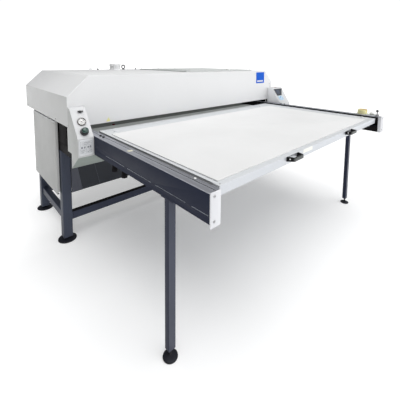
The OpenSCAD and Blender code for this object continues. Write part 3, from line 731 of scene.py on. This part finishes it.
# ------------------------------------------------------------------ hood
def side_face(c, n):
    """Faces facing along X take the second material, another tone of the front's paint: painted shade on the hood's and
    the column's ends, painted light on the pod's sides.
    """
    return 1 if abs(n.x) > 0.9 else 0


def hood():
    remake("hood_front_panel", 0.0010, 3)
    for n in ("hood_left_panel", "hood_right_panel"):
        remake(n, 0.0010, 3, mats=["hood_paint", "end_shade_paint"], pick=side_face)
    # the roof takes a darker copy of the hood's paint: painted shade on the top face
    remake("hood_roof_panel", 0.0008, mats=["roof_shade_paint"])
    remake("rear_cover", 0, merge=False)
    # the covers' sides take a greyer paint darkened further as painted shade; their top faces a pale painted highlight,
    # their front faces a lighter grey as painted light
    for n in ("left_side_cover", "right_side_cover"):
        remake(n, 0.0012, 3, mats=["cover_grey_and_shade", "white_cap", "cover_front_lit"], pick=lambda c, n: 1 if c.z > 900 and n.z > 0.9 else (2 if n.y < -0.9 else 0))
    # screws round the rear cover and on the hood's ends
    sp = [(x, 1190, z, (0, 1, 0)) for x in range(-1050, 1051, 300) for z in (725, 955, 1252)]
    sp += [(sx * 1165, 1190, z, (0, 1, 0)) for sx in (-1, 1) for z in (980, 1110)]
    screws("rear_cover_screws", [s for s in sp if not (s[2] == 1252 and abs(s[0]) > 1000)], r=4.5, h=2.5, hexa=2.2)
    screws("end_panel_screws", [(sx * 1190, y, 952, (sx, 0, 0)) for sx in (-1, 1) for y in (262, 1120)] + [(sx * 1190, y, 905, (sx, 0, 0)) for sx in (-1, 1) for y in (310, 610, 915)]
           + [(1142, 0, z, (0, -1, 0)) for z in (1083, 1116)] + [(x, -38, 1070, (0, 0, 1)) for x in (1122, 1158)], r=5, h=2.8, replaces="panel_screws")
    # quarter-turn latches on the side covers
    k = Kit()
    for sx in (-1, 1):
        for y in (330, 895):
            k.M = toward(sx * 1190, y, 400, (sx, 0, 0))
            k.mi = 0
            k.lathe([(0, -0.5), (11, -0.5), (11, 1.2), (9.6, 2.2), (7.6, 2.4), (7.4, 1.0), (0, 1.0)], 36)
            k.mi = 1
            k.box((-6.2, -1.1, 0.9), (6.2, 1.1, 2.2))
    k.M = M0
    k.done("cover_latches", ["zinc_screws", "black_steel"], bevel=0.0002)
    # plain blue badge plate with a white bar
    k = Kit()
    k.rrect(869, 1025, -2.2, 0.2, 1132, 1258, "y", 3, cham=0.5)
    k.mi = 1
    k.rrect(886, 1000, -2.9, -2.0, 1148, 1164, "y", 2, cham=0.3)
    k.done("badge_plate", ["badge_blue", "plate_white"], bevel=0)
    # plain yellow triangle, no sign on it
    k = Kit(toward(-911, 0, 951, (0, -1, 0)))
    k.prism([(-17, -13), (17, -13), (0, 17)], "xy", 0, 0.5)
    t = k.done("plain_triangle", "sticker_yellow", bevel=0)


hood()


# ------------------------------------------------------------------ roof
def roof():
    k = Kit()
    k.rrect(-60, 960, 140, 1010, 1275, 1285, "z", 5, cham=1.0)
    for i in range(8):
        k.rrect(20 + i * 14, 26 + i * 14, 300, 850, 1284.8, 1289, "z", 1.2, cham=0.9)
    k.done("roof_service_cover", "service_paint", bevel=0, replaces="roof_service_panel")
    screws("roof_panel_screws", [(x, y, 1285, (0, 0, 1)) for x in (-45, 200, 450, 700, 945) for y in (155, 995)], r=5, h=2.6)
    k = Kit(place(-323, 1100, 1275))
    k.lathe([(55, -1), (70, -1), (70, 1.4), (69, 2), (60.5, 2), (58.6, 2.6), (57.6, 4), (57.5, 10), (57.5, 46), (58.4, 47.5), (58.8, 49.5), (58.4, 51.5), (57.5, 53), (57.5, 61.6), (57.0, 62.6), (56.2, 63), (55.4, 62.6), (55, 61.6), (55, -1)], 72)
    k.done("exhaust_pipe", "hood_paint", bevel=0, replaces="exhaust_spigot")
    screws("spigot_screws", [(-323 + 64.5 * math.cos(math.radians(45 + 90 * i)), 1100 + 64.5 * math.sin(math.radians(45 + 90 * i)), 1277, (0, 0, 1)) for i in range(4)], r=3.4, h=2.2, hexa=1.5)
    # lifting ring and studs
    k = Kit(place(-222, 1100, 1275))
    k.lathe([(0, 0), (14, 0), (14, 6.5), (13, 8), (8.5, 8.6), (7, 10), (6.2, 13.5), (0, 13.5)], 40)
    k.sweep([(19 * math.cos(2 * math.pi * i / 40), 0, 30 + 19 * math.sin(2 * math.pi * i / 40)) for i in range(40)], 5.5, 16, closed=True)
    for x in (-515, -52):
        k.M = place(x, 1120, 1275)
        k.lathe([(0, 0), (8, 0), (8, 8), (7, 9), (4, 9.2), (4, 16.8), (3.2, 18), (0, 18)], 28)
    k.M = M0
    k.done("roof_ring_and_studs", "black_steel", bevel=0, replaces="roof_fittings")
    k = Kit(place(608, 204, 1285))
    k.lathe([(0, 0), (23, 0), (23, 9), (21.5, 11.2), (17, 12.4), (0, 13)], 48)
    k.done("roof_cap", "white_plastic", bevel=0)
    k = Kit()
    k.box((-610, 1096, 1275), (-576, 1130, 1277))
    k.box((-610, 1128, 1277), (-576, 1130, 1292))
    k.done("roof_bracket", "hood_paint", bevel=0.0004)


roof()


# ------------------------------------------------------------------ left control column
def column():
    # the column's sloped front takes a darker grey than the hood: painted shade
    remake("control_column", 0.0010, 3, mats=["column_paint", "column_side_shade"], pick=side_face)
    # bent tin deflector; the crease across it is a lighter strip, a painted highlight along the fold
    remake("column_deflector", 0.0005, mats=["deflector_paint"])
    k = Kit(place(0, -180, 775, tilt=-math.degrees(math.atan2(98, 120))))
    k.loft([[(-1095, 3, z), (-1092.5, 3, z), (-1059, 152, z), (-1063, 152, z)] for z in (-0.2, 0.5)])
    k.done("deflector_crease_highlight", "column_paint", bevel=0)
    # gauge: case and bezel, dial, ticks, numbers, glass
    k = Kit(on_column(-1138, 104))
    k.lathe([(0, -30), (22.5, -30), (24, -28.5), (24, 0), (26.0, 0), (27, 1), (27, 6.4), (26.5, 8), (25.4, 9), (24.8, 9), (24.2, 8.2), (24, 7), (24, 2.4), (0, 2.4)], 72)
    k.lathe([(0, 2.4), (1.0, 2.4), (1.0, 5.4), (0.7, 5.6), (0, 5.6)], 16)
    k.done("gauge_case", "chrome_ring", bevel=0, replaces="gauge_body")
    k = Kit(on_column(-1138, 104))
    k.lathe([(0, 2.75), (23.9, 2.75), (23.9, 2.45)], 64)
    k.done("gauge_dial", "dial_white", bevel=0)
    k = Kit(on_column(-1138, 104))
    for i in range(41):
        a = math.radians(225 - 270 * i / 40)
        long = i % 4 == 0
        r0, r1, w = (17.6 if long else 19.2), 21.4, (0.40 if long else 0.20)
        d, q = Vector((math.cos(a), math.sin(a))), Vector((-math.sin(a), math.cos(a)))
        pts = [d * r0 - q * w, d * r1 - q * w, d * r1 + q * w, d * r0 + q * w]
        k.prism([(p.x, p.y) for p in pts], "xy", 2.74, 2.86)
    arc = [math.radians(225 - 270 * i / 60) for i in range(61)]
    for a0, a1 in zip(arc, arc[1:]):
        k.prism([(21.4 * math.cos(a0), 21.4 * math.sin(a0)), (21.9 * math.cos(a0), 21.9 * math.sin(a0)), (21.9 * math.cos(a1), 21.9 * math.sin(a1)), (21.4 * math.cos(a1), 21.4 * math.sin(a1))], "xy", 2.74, 2.86)
    k.done("gauge_ticks", "ink", bevel=0)
    for i in range(0, 11, 2):
        a = math.radians(225 - 27 * i)
        digits("gauge_number_%d" % i, str(i), on_column(-1138, 104) @ Matrix.Translation((14.0 * math.cos(a), 14.0 * math.sin(a), 2.76)), 4.4)
    k = Kit(on_column(-1138, 104))
    k.lathe([(0, 6.6), (23.8, 6.3), (23.8, 7.3), (17, 8.0), (0, 8.4)], 64)
    k.done("gauge_window", "gauge_glass", bevel=0)
    # needle with its hub
    k = Kit(on_column(-1138, 104) @ Matrix.Rotation(math.radians(135), 4, "Z") @ Matrix.Translation((0, 0, 3.2)))
    k.loft([[(-1.6, -8, z), (1.6, -8, z), (1.2, 0, z), (0.35, 18, z), (-0.35, 18, z), (-1.2, 0, z)] for z in (0.05, 0.85)])
    k.lathe([(1.1, 0), (3.2, 0), (3.2, 1.2), (2.7, 1.6), (1.1, 1.6), (1.1, 0)], 28)
    k.done("needle", "needle_red", "gauge_needle", bevel=0, replaces="gauge_needle")

    # start button
    k = Kit(on_column(-1139, 177))
    k.lathe([(8.15, -24), (11.9, -24), (11.9, 0), (25, 0), (26, 0.8), (26, 9.5), (24.8, 11.8), (22, 12.9), (18.6, 13), (17.4, 12.2), (8.15, 12), (8.15, -24)], 64)
    k.done("start_collar", "black_plastic", bevel=0, replaces="start_button_collar")
    k = Kit(on_column(-1139, 177))
    k.lathe([(0, -20), (8, -20), (8, 19.5), (18.6, 19.5), (19.8, 20.2), (20.4, 22.4), (20.5, 24.6), (19.9, 27.2), (18.4, 30), (15.8, 32.4), (12, 34.2), (7, 35.2), (0, 35.5)], 64)
    k.done("start_mushroom", "green_plastic", "start_button", bevel=0, replaces="start_button")

    # selector: bezel, grip with a white pointer, and a blank legend plate with plain strokes
    k = Kit(on_column(-1129, 30))
    k.lathe([(0, 0.3), (8.4, 0.3), (8.4, 4.6), (7.6, 5.6), (0, 5.6)], 40)
    k.lathe([(0, -14), (4.6, -14), (5, -13.5), (5, 0.4), (0, 0.4)], 32)
    k.loft([[(-17 + i, -4.5 + i * 0.6, z), (17 - i, -4.5 + i * 0.6, z), (17 - i, 4.5 - i * 0.6, z), (-17 + i, 4.5 - i * 0.6, z)] for i, z in ((0.5, 5), (0, 5.8), (0.2, 10.5), (1.0, 12.2), (2.2, 13))])
    k.mi = 1
    k.box((3, -0.8, 12.9), (14.2, 0.8, 13.3))
    k.done("selector_grip", ["black_plastic", "white_plastic"], "mode_selector", bevel=0.0003, replaces="mode_selector")
    k = Kit(on_column(-1129, 30))
    k.mi = 0
    ring = [(12.5, 0), (12.5, 0.25), (10.2, 0.25), (10.2, 0)]
    k.lathe(ring + [ring[0]], 48)
    for x0, x1 in ((-22, -15), (15, 22)):
        k.box((x0, -20.5, 0), (x1, -19.3, 0.25))
    k.done("selector_marks", "plate_print", bevel=0)

    # blank data plate: a white plate with an empty ruled form
    k = Kit()
    k.rrect(-1183, -1097, -180.6, -179.9, 785, 885, "y", 2, cham=0.2)
    k.mi = 1
    for z in (873, 861, 849, 823, 811, 799):
        k.box((-1177, -180.85, z), (-1103, -180.5, z + 0.7))
    for x, z0, z1 in ((-1177, 799, 873.7), (-1103.7, 799, 873.7), (-1140, 799, 849.7), (-1160, 849, 873.7), (-1121, 799, 823.7)):
        k.box((x, -180.85, z0), (x + 0.7, -180.5, z1))
    for i, (x, z, w, h) in enumerate(((-1171, 830, 10, 12), (-1154, 830, 9, 12), (-1133, 831, 12, 10), (-1117, 829, 8, 14), (-1171, 815, 22, 3), (-1171, 804, 16, 3), (-1134, 804, 9, 3), (-1115, 815, 8, 3), (-1115, 804, 8, 3), (-1154, 865, 40, 2.4), (-1154, 854, 28, 2.4))):
        k.box((x, -180.8, z), (x + w, -180.5, z + h))
    k.done("data_plate", ["plate_white", "plate_print"], bevel=0)
    screws("data_plate_rivets", [(x, -180.5, z, (0, -1, 0)) for x in (-1180, -1100) for z in (788.5, 881.5)], r=1.7, h=1.0, hexa=0.6)
    screws("column_screws", [(-1190, y, z, (-1, 0, 0)) for y, z in ((-20, 1040), (-20, 950), (-120, 860))], r=4.2, h=2.4, hexa=2)


def digits(name, text, M, size, mat="ink", body="machine"):
    """Flat figures for a dial, centred, made into a plain mesh."""
    cu = bpy.data.curves.new(name, "FONT")
    cu.body, cu.size, cu.align_x, cu.align_y, cu.extrude = text, size, "CENTER", "CENTER", 0.06
    tmp = bpy.data.objects.new(name + "_tmp", cu)
    bpy.context.scene.collection.objects.link(tmp)
    bpy.context.view_layer.update()
    me = bpy.data.meshes.new_from_object(tmp.evaluated_get(bpy.context.evaluated_depsgraph_get()))
    bpy.data.objects.remove(tmp)
    me.transform(M)
    me.name = name
    me.materials.clear()
    me.materials.append(MAT[mat])
    o = bpy.data.objects.new(name, me)
    bpy.context.scene.collection.objects.link(o)
    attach(o, body)
    return o


column()


# ------------------------------------------------------------------ right control pod and its screen
def pod():
    # the pod's sloped front takes the same darker grey: painted shade
    remake("right_control_pod", 0.0010, 3, mats=["column_paint", "pod_side_lit"], pick=side_face)
    k = Kit(on_pod(0, 0))
    trap = lambda g, z: [(1116 + g, -18 - g, z), (1293 - 2.2 * g, -18 - g, z), (1215 - 1.1 * g, -108 + g, z), (1120 + g, -108 + g, z)]
    k.mi = 0
    k.loft([trap(0, 0), trap(0, 2.2), trap(0.8, 3.0), trap(5, 3.0), trap(6, 1.8)], cap0=True, cap1=False)
    k.mi = 1
    k.loft([trap(6, 1.8), trap(6.01, 1.82)], cap0=False, cap1=True)
    k.mi = 2
    k.loft([[(1134, -33, z), (1218, -33, z), (1196, -88, z), (1138, -88, z)] for z in (1.9, 2.15)])
    k.mi = 6
    k.loft([[(x0 + g, -112 - g, z), (x1 - g, -112 - g, z), (x2 - g, -170 + g, z), (x3 + g, -170 + g, z)] for g, z, x0, x1, x2, x3 in ((0, 0, 1124, 1216, 1222, 1128), (0, 1.0, 1124, 1216, 1222, 1128), (0.7, 1.5, 1124, 1216, 1222, 1128))])
    k.mi = 4
    for i in range(4):
        for j in range(3):
            x, y = 1138 + i * 22 + (2 if j else 0), -123 - j * 17
            if i == 1 and j == 0:
                continue
            k.mi = 4 if (i + j) % 3 else 5
            k.rrect(x - 7, x + 7, y - 4.8, y + 4.8, 1.4, 2.5, "z", 2, cham=0.5)
    k.mi = 4
    k.M = on_pod(1169, 131)
    k.lathe([(0, 0), (9, 0), (9, 2.2), (8, 3), (0, 3)], 40)
    k.done("operator_panel", ["panel_black", "screen_black", "lcd_grey", "plate_white", "key_blue", "key_pale", "panel_pale"], bevel=0, replaces="operator_screen")
    screws("pod_screws", [(1299, y, z, (1, 0, 0)) for y, z in ((-20, 1045), (-20, 890), (-150, 890))], r=4.2, h=2.4, hexa=2)
    # lock with its key slot on the pod's outer side
    k = Kit(toward(1299, -45, 960, (1, 0, 0)))
    k.lathe([(0, -0.5), (9, -0.5), (9, 1.6), (7.8, 2.6), (0, 2.6)], 32)
    k.mi = 1
    k.box((-0.9, -4.5, 2.2), (0.9, 4.5, 2.75))
    k.done("pod_lock", ["chrome_ring", "ink"], bevel=0)
    # small square marks on top of the pod
    k = Kit()
    k.rrect(1196, 1216, -45, -25, 1070, 1071.2, "z", 2, cham=0.3)
    k.mi = 1
    k.rrect(1222, 1242, -45, -25, 1070, 1071.2, "z", 2, cham=0.3)
    k.done("pod_top_marks", ["red_plastic", "ink"], bevel=0)


pod()


# ------------------------------------------------------------------ button station and latch
def station():
    remake("station_box", 0.0012, 3)
    k = Kit()
    k.box((1088.9, -1166.2, 891.2), (1173.2, -1004.8, 892.0))
    k.done("station_lid_seam", "ink", bevel=0)
    screws("station_screws", [(x, y, 900, (0, 0, 1)) for x in (1097, 1166) for y in (-1158, -1012)], r=3.4, h=2, hexa=1.5)
    remake("stop_button_shroud", 0.0009, 3)
    k = Kit(place(1131, -1051, 900))
    k.lathe([(0, -30), (10, -30), (10, 17), (20.5, 17), (22.4, 18.2), (23, 20.4), (23, 25), (22.4, 27.6), (20.6, 30.2), (17, 32.6), (11.5, 34.4), (5, 35.3), (0, 35.5)], 64)
    k.mi = 1
    for t in range(3):
        a0 = math.radians(120 * t)
        arc = [a0 + math.radians(10 * i) for i in range(8)]
        out = [(16.6 * math.cos(a), 16.6 * math.sin(a)) for a in arc]
        inn = [(14.6 * math.cos(a), 14.6 * math.sin(a)) for a in reversed(arc)]
        k.loft([[(x, y, 32.0 if (x * x + y * y) > 240 else 32.9) for x, y in out + inn], [(x, y, 33.0 if (x * x + y * y) > 240 else 33.9) for x, y in out + inn]])
    k.done("stop_mushroom", ["red_plastic", "white_plastic"], "stop_button", bevel=0, replaces="stop_button")
    k = Kit(place(1131, -1134, 900))
    k.lathe([(0, -25), (9, -25), (9, 6), (20.6, 6), (21.8, 7), (22, 9), (21.3, 13.6), (19.4, 17.2), (15.8, 20), (9, 21.6), (0, 22)], 56)
    k.done("station_knob", "white_plastic", "station_start_button", bevel=0, replaces="station_start_button")
    k = Kit(place(1131, -1134, 900))
    k.lathe([(9.8, 0), (16, 0), (16, 0.5), (15.4, 0.8), (10.4, 0.8), (9.8, 0.5), (9.8, 0)], 48)
    k.done("station_knob_collar", "black_plastic", bevel=0)
    # latch lever
    k = Kit(place(0, -1193, 909.5))
    k.M = toward(1055, -1193, 909.5, (1, 0, 0))
    k.mi = 1
    k.lathe([(4.1, 0), (7.2, 0), (8, 0.8), (8, 11.2), (7.2, 12), (4.1, 12), (4.1, 0)], 40)
    k.mi = 0
    k.M = place(1061, -1193, 909.5)
    k.lathe([(0, 5), (3.9, 5), (3.5, 8), (3.5, 30), (4.4, 31)] + [(10.5 * math.sin(math.radians(a)), 39 - 10.5 * math.cos(math.radians(a))) for a in range(30, 181, 10)][:-1] + [(0, 49.5)], 40)
    k.done("latch_lever_arm", ["black_steel", "zinc_screws"], "latch_lever", bevel=0, replaces="latch_lever")


station()


# ------------------------------------------------------------------ rear connections
def rear():
    k = Kit(toward(-800, 1190, 800, (0, 1, 0)))
    hexa = lambda r, z: [(r * math.cos(math.radians(60 * i)), r * math.sin(math.radians(60 * i)), z) for i in range(6)]
    k.loft([hexa(15.2, 0), hexa(16, 0.8), hexa(16, 7.2), hexa(15.0, 8)])
    thread = [(12.5, 8), (12.5, 24), (9.9, 24)]
    z = 23.4
    while z > 9.5:
        thread += [(9.5, z), (10.3, z - 0.7)]
        z -= 1.4
    k.lathe(thread + [(9.5, 8.2), (0, 8.2)], 48)
    k.done("air_fitting", "bronze", bevel=0, replaces="air_inlet_fitting")
    k = Kit(toward(-900, 1190, 800, (0, 1, 0)))
    hexh = lambda r, z: [(r * math.cos(math.radians(60 * i)), r * math.sin(math.radians(60 * i)), z) for i in range(6)]
    k.mi = 0
    n = 48
    k.lathe([(8, -0.9), (8, 22.8), (8.8, 23.8), (12, 24), (13.6, 22.6), (14, 20), (14, 8)], n)
    ribs = []
    for i in range(36):
        a = 2 * math.pi * i / 36
        r = 14.9 if i % 2 else 14.1
        ribs.append((r * math.cos(a), r * math.sin(a)))
    k.loft([[(x, y, z) for x, y in ribs] for z in (11.5, 19.5)])
    k.lathe([(8, 0), (16, 0), (17.2, 0.8), (17.2, 7.2), (16, 8), (13.8, 8)], 6)
    k.done("mains_gland", "black_plastic", bevel=0, replaces="cable_gland")
    # blank plate beside the inlets
    k = Kit()
    k.rrect(-1010, -940, 1189.9, 1190.7, 760, 840, "y", 2, cham=0.2)
    k.mi = 1
    for z in (826, 812, 798, 784, 770):
        k.box((-1004, 1190.4, z), (-946, 1190.95, z + 0.7))
    k.done("rear_data_plate", ["plate_white", "plate_print"], bevel=0)
    remake("electrical_cabinet", 0.0012, 2)
    k = Kit()
    k.box((-1094, 289.2, 395), (-901, 290.2, 396))
    k.rrect(-1085, -910, 287.6, 290.1, 402, 700, "y", 4, cham=0.8)
    k.done("cabinet_door", "grey_paint", bevel=0)
    remake("air_tank", 0.0006)
    k = Kit()
    for x in (-300, 330):
        k.M = toward(x, 560, 590, (1, 0, 0))
        k.lathe([(80, 0), (81.2, 0.4), (81.6, 1.6), (81.2, 2.8), (80, 3.2)], 72)
    k.M = M0
    k.done("tank_welds", "navy_paint", bevel=0)


rear()


# ------------------------------------------------------------------ pull-out table
def table():
    along = lambda c, n: 2 if n.z > 0.9 else (1 if abs(c.y + 1175) > 30 and abs(c.y + 60) > 25 else 0)
    remake("table_frame", 0.0009, 2, mats=["table_aluminium", "table_aluminium_y", "table_top_face"], pick=along)
    remake("table_side_rails", 0.0006, mats=["rail_grey"])
    remake("table_plate", 0.0006, mats=["table_aluminium", "table_top_face"], pick=lambda c, n: 1 if n.z > 0.9 else 0)
    # a strip of pale tape on the front profile
    k = Kit()
    k.rrect(-318, -206, -1195.5, -1194.9, 868.5, 889, "y", 1.5, cham=0.15)
    k.done("profile_tape", "pale_tape", "table", bevel=0)
    # plastic ends on the front profile
    k = Kit()
    for sx in (-1, 1):
        a, b = sorted((sx * 999.6, sx * 1001.8))
        k.rrect(a, b, -1194.6, -1155.4, 849.5, 889.6, "x", 3, cham=0.6)
    k.done("profile_ends", "plate_white", "table", bevel=0)
    # the work board: a thin slab with eased, slightly crowned edges
    lo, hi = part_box("work_board")
    inv = M0.inverted()
    a, b = inv @ lo, inv @ hi
    k = Kit()
    x0, x1, y0, y1, z0, z1 = a.x, b.x, a.y, b.y, a.z, b.z
    def ring(g, z):
        r = 7 - min(g, 6)
        out = []
        for cx, cy, a0 in ((x1 - g - r, y1 - g - r, 0), (x0 + g + r, y1 - g - r, 90), (x0 + g + r, y0 + g + r, 180), (x1 - g - r, y0 + g + r, 270)):
            for i in range(7):
                t = math.radians(a0 + 15 * i)
                out.append((cx + r * math.cos(t), cy + r * math.sin(t), z))
        return out
    k.loft([ring(0.4, z0), ring(0, z0 + 0.5), ring(0, z1 - 2.0), ring(0.35, z1 - 0.9), ring(1.1, z1 - 0.25), ring(2.4, z1)])
    k.done("board", "white_board", "table", bevel=0, replaces="work_board")
    # handles: tapered bridge handles with a screw head in each outer cheek
    # the handles' front faces take a lighter, glossier black than the rest: painted light
    remake("table_handles", 0.0016, 3, mats=["handle_black", "handle_front_lit"], pick=lambda c, n: 1 if n.y < -0.6 else 0)
    k = Kit()
    for hx in (-438, 366):
        for sx in (-1, 1):
            k.M = toward(hx + sx * 55.3, -1195 - 18, 881, (sx * 0.9375, -0.348, 0))
            k.lathe([(0, 0), (3.6, 0), (3.6, 0.7), (2.8, 1.3), (0, 1.4)], 24)
    k.M = M0
    k.done("handle_screws", "zinc_bright", "table", bevel=0)
    remake("table_clips", 0.0008, 2)
    for n in ("roller_front_left", "roller_front_right", "roller_rear_left", "roller_rear_right"):
        remake(n, 0.0003)
    # cover strip screws along the table's front profile ends
    screws("table_corner_screws", [(sx * 985, y, 890, (0, 0, 1)) for sx in (-1, 1) for y in (-1182,)] + [(x, -60, 890, (0, 0, 1)) for x in (-960, -480, 0, 480, 960)], r=3.6, h=1.2, hexa=1.6, body="table")


table()


# ------------------------------------------------------------------ press works
def press():
    remake("press_columns", 0.0015, 2, mats=["shade_paint"])
    remake("press_girders", 0.0015, 2)
    remake("air_cylinders", 0.0008)
    remake("guide_bushings", 0.0008)
    remake("heated_plate", 0.0008)
    remake("platen_ribs", 0.001)
    remake("piston_rods", 0.0005)
    remake("guide_rods", 0.0008)
    k = Kit()
    for x in (-700, 0, 700):
        for y in (355, 755):
            for sx in (-58, 58):
                for sy in (-40, 40):
                    k.M = toward(x + sx, y + sy, 1192, (0, 0, 1))
                    screw(k, 5.5, 5, 2.6)
    k.done("cylinder_flange_screws", "zinc_screws", bevel=0)


press()


# ------------------------------------------------------------------ floor and light
def studio():
    me = bpy.data.meshes.new("floor")
    s = 60
    me.from_pydata([(-s, -s, -0.0004), (s, -s, -0.0004), (s, s, -0.0004), (-s, s, -0.0004)], [], [(0, 1, 2, 3)])
    o = bpy.data.objects.new("floor", me)
    bpy.context.scene.collection.objects.link(o)
    m, nt, b = mat_new("floor_white")
    v = coords(nt)
    nt.links.new(mixc(nt, remap(nt, noise(nt, v, 0.8, 3), 0.3, 0.7), (0.745, 0.745, 0.745), (0.765, 0.765, 0.765)), b.inputs["Base Color"])
    b.inputs["Roughness"].default_value = 0.9
    b.inputs["Specular IOR Level"].default_value = 0.0
    b.inputs["Emission Color"].default_value = (1, 1, 1, 1)  # a light table: lifts the shadows
    sep = nt.nodes.new("ShaderNodeSeparateXYZ")
    nt.links.new(v, sep.inputs[0])
    # painted light: the floor's glow rises from 0.21 to 0.40 towards the rear, lightening the floor under the machine
    # where its shadow falls
    nt.links.new(remap(nt, sep.outputs["Y"], 0.15, 0.75, 0.21, 0.40, smooth=True), b.inputs["Emission Strength"])
    me.materials.append(m)

    sun = bpy.data.lights.new("overhead", "SUN")
    sun.energy = 2.35
    sun.angle = math.radians(60)
    so = bpy.data.objects.new("overhead", sun)
    so.rotation_euler = (math.radians(13), math.radians(-7), 0)
    bpy.context.scene.collection.objects.link(so)

    w = bpy.data.worlds.new("studio")
    bpy.context.scene.world = w
    w.use_nodes = True
    nt = w.node_tree
    nt.nodes.clear()
    out = nt.nodes.new("ShaderNodeOutputWorld")
    tc = nt.nodes.new("ShaderNodeTexCoord")

    def lobe(direction, start, end, level):
        """A soft box: its light rises from start to end of the cosine to its direction."""
        d = nt.nodes.new("ShaderNodeVectorMath")
        d.operation = "DOT_PRODUCT"
        nt.links.new(tc.outputs["Generated"], d.inputs[0])
        d.inputs[1].default_value = Vector(direction).normalized()
        return remap(nt, d.outputs["Value"], start, end, 0.0, level, smooth=True)
    level = calc(nt, "ADD", calc(nt, "ADD", 0.07, lobe((0.58, -0.78, 0.30), 0.62, 0.97, 1.65)), calc(nt, "ADD", lobe((0.1, -0.1, 1), 0.45, 1.0, 0.42), lobe((0.8, 0.6, 0.25), 0.2, 1.0, 0.30)))
    bg = nt.nodes.new("ShaderNodeBackground")
    bg.inputs["Color"].default_value = (0.985, 0.992, 1.0, 1)
    nt.links.new(level, bg.inputs["Strength"])
    white = nt.nodes.new("ShaderNodeBackground")
    white.inputs["Color"].default_value = (1, 1, 1, 1)
    white.inputs["Strength"].default_value = 1.05
    lp = nt.nodes.new("ShaderNodeLightPath")
    mx = nt.nodes.new("ShaderNodeMixShader")
    nt.links.new(lp.outputs["Is Camera Ray"], mx.inputs[0])
    nt.links.new(bg.outputs[0], mx.inputs[1])
    nt.links.new(white.outputs[0], mx.inputs[2])
    nt.links.new(mx.outputs[0], out.inputs[0])
    vs = bpy.context.scene.view_settings
    vs.view_transform = "Standard"
    vs.look = "None"


studio()
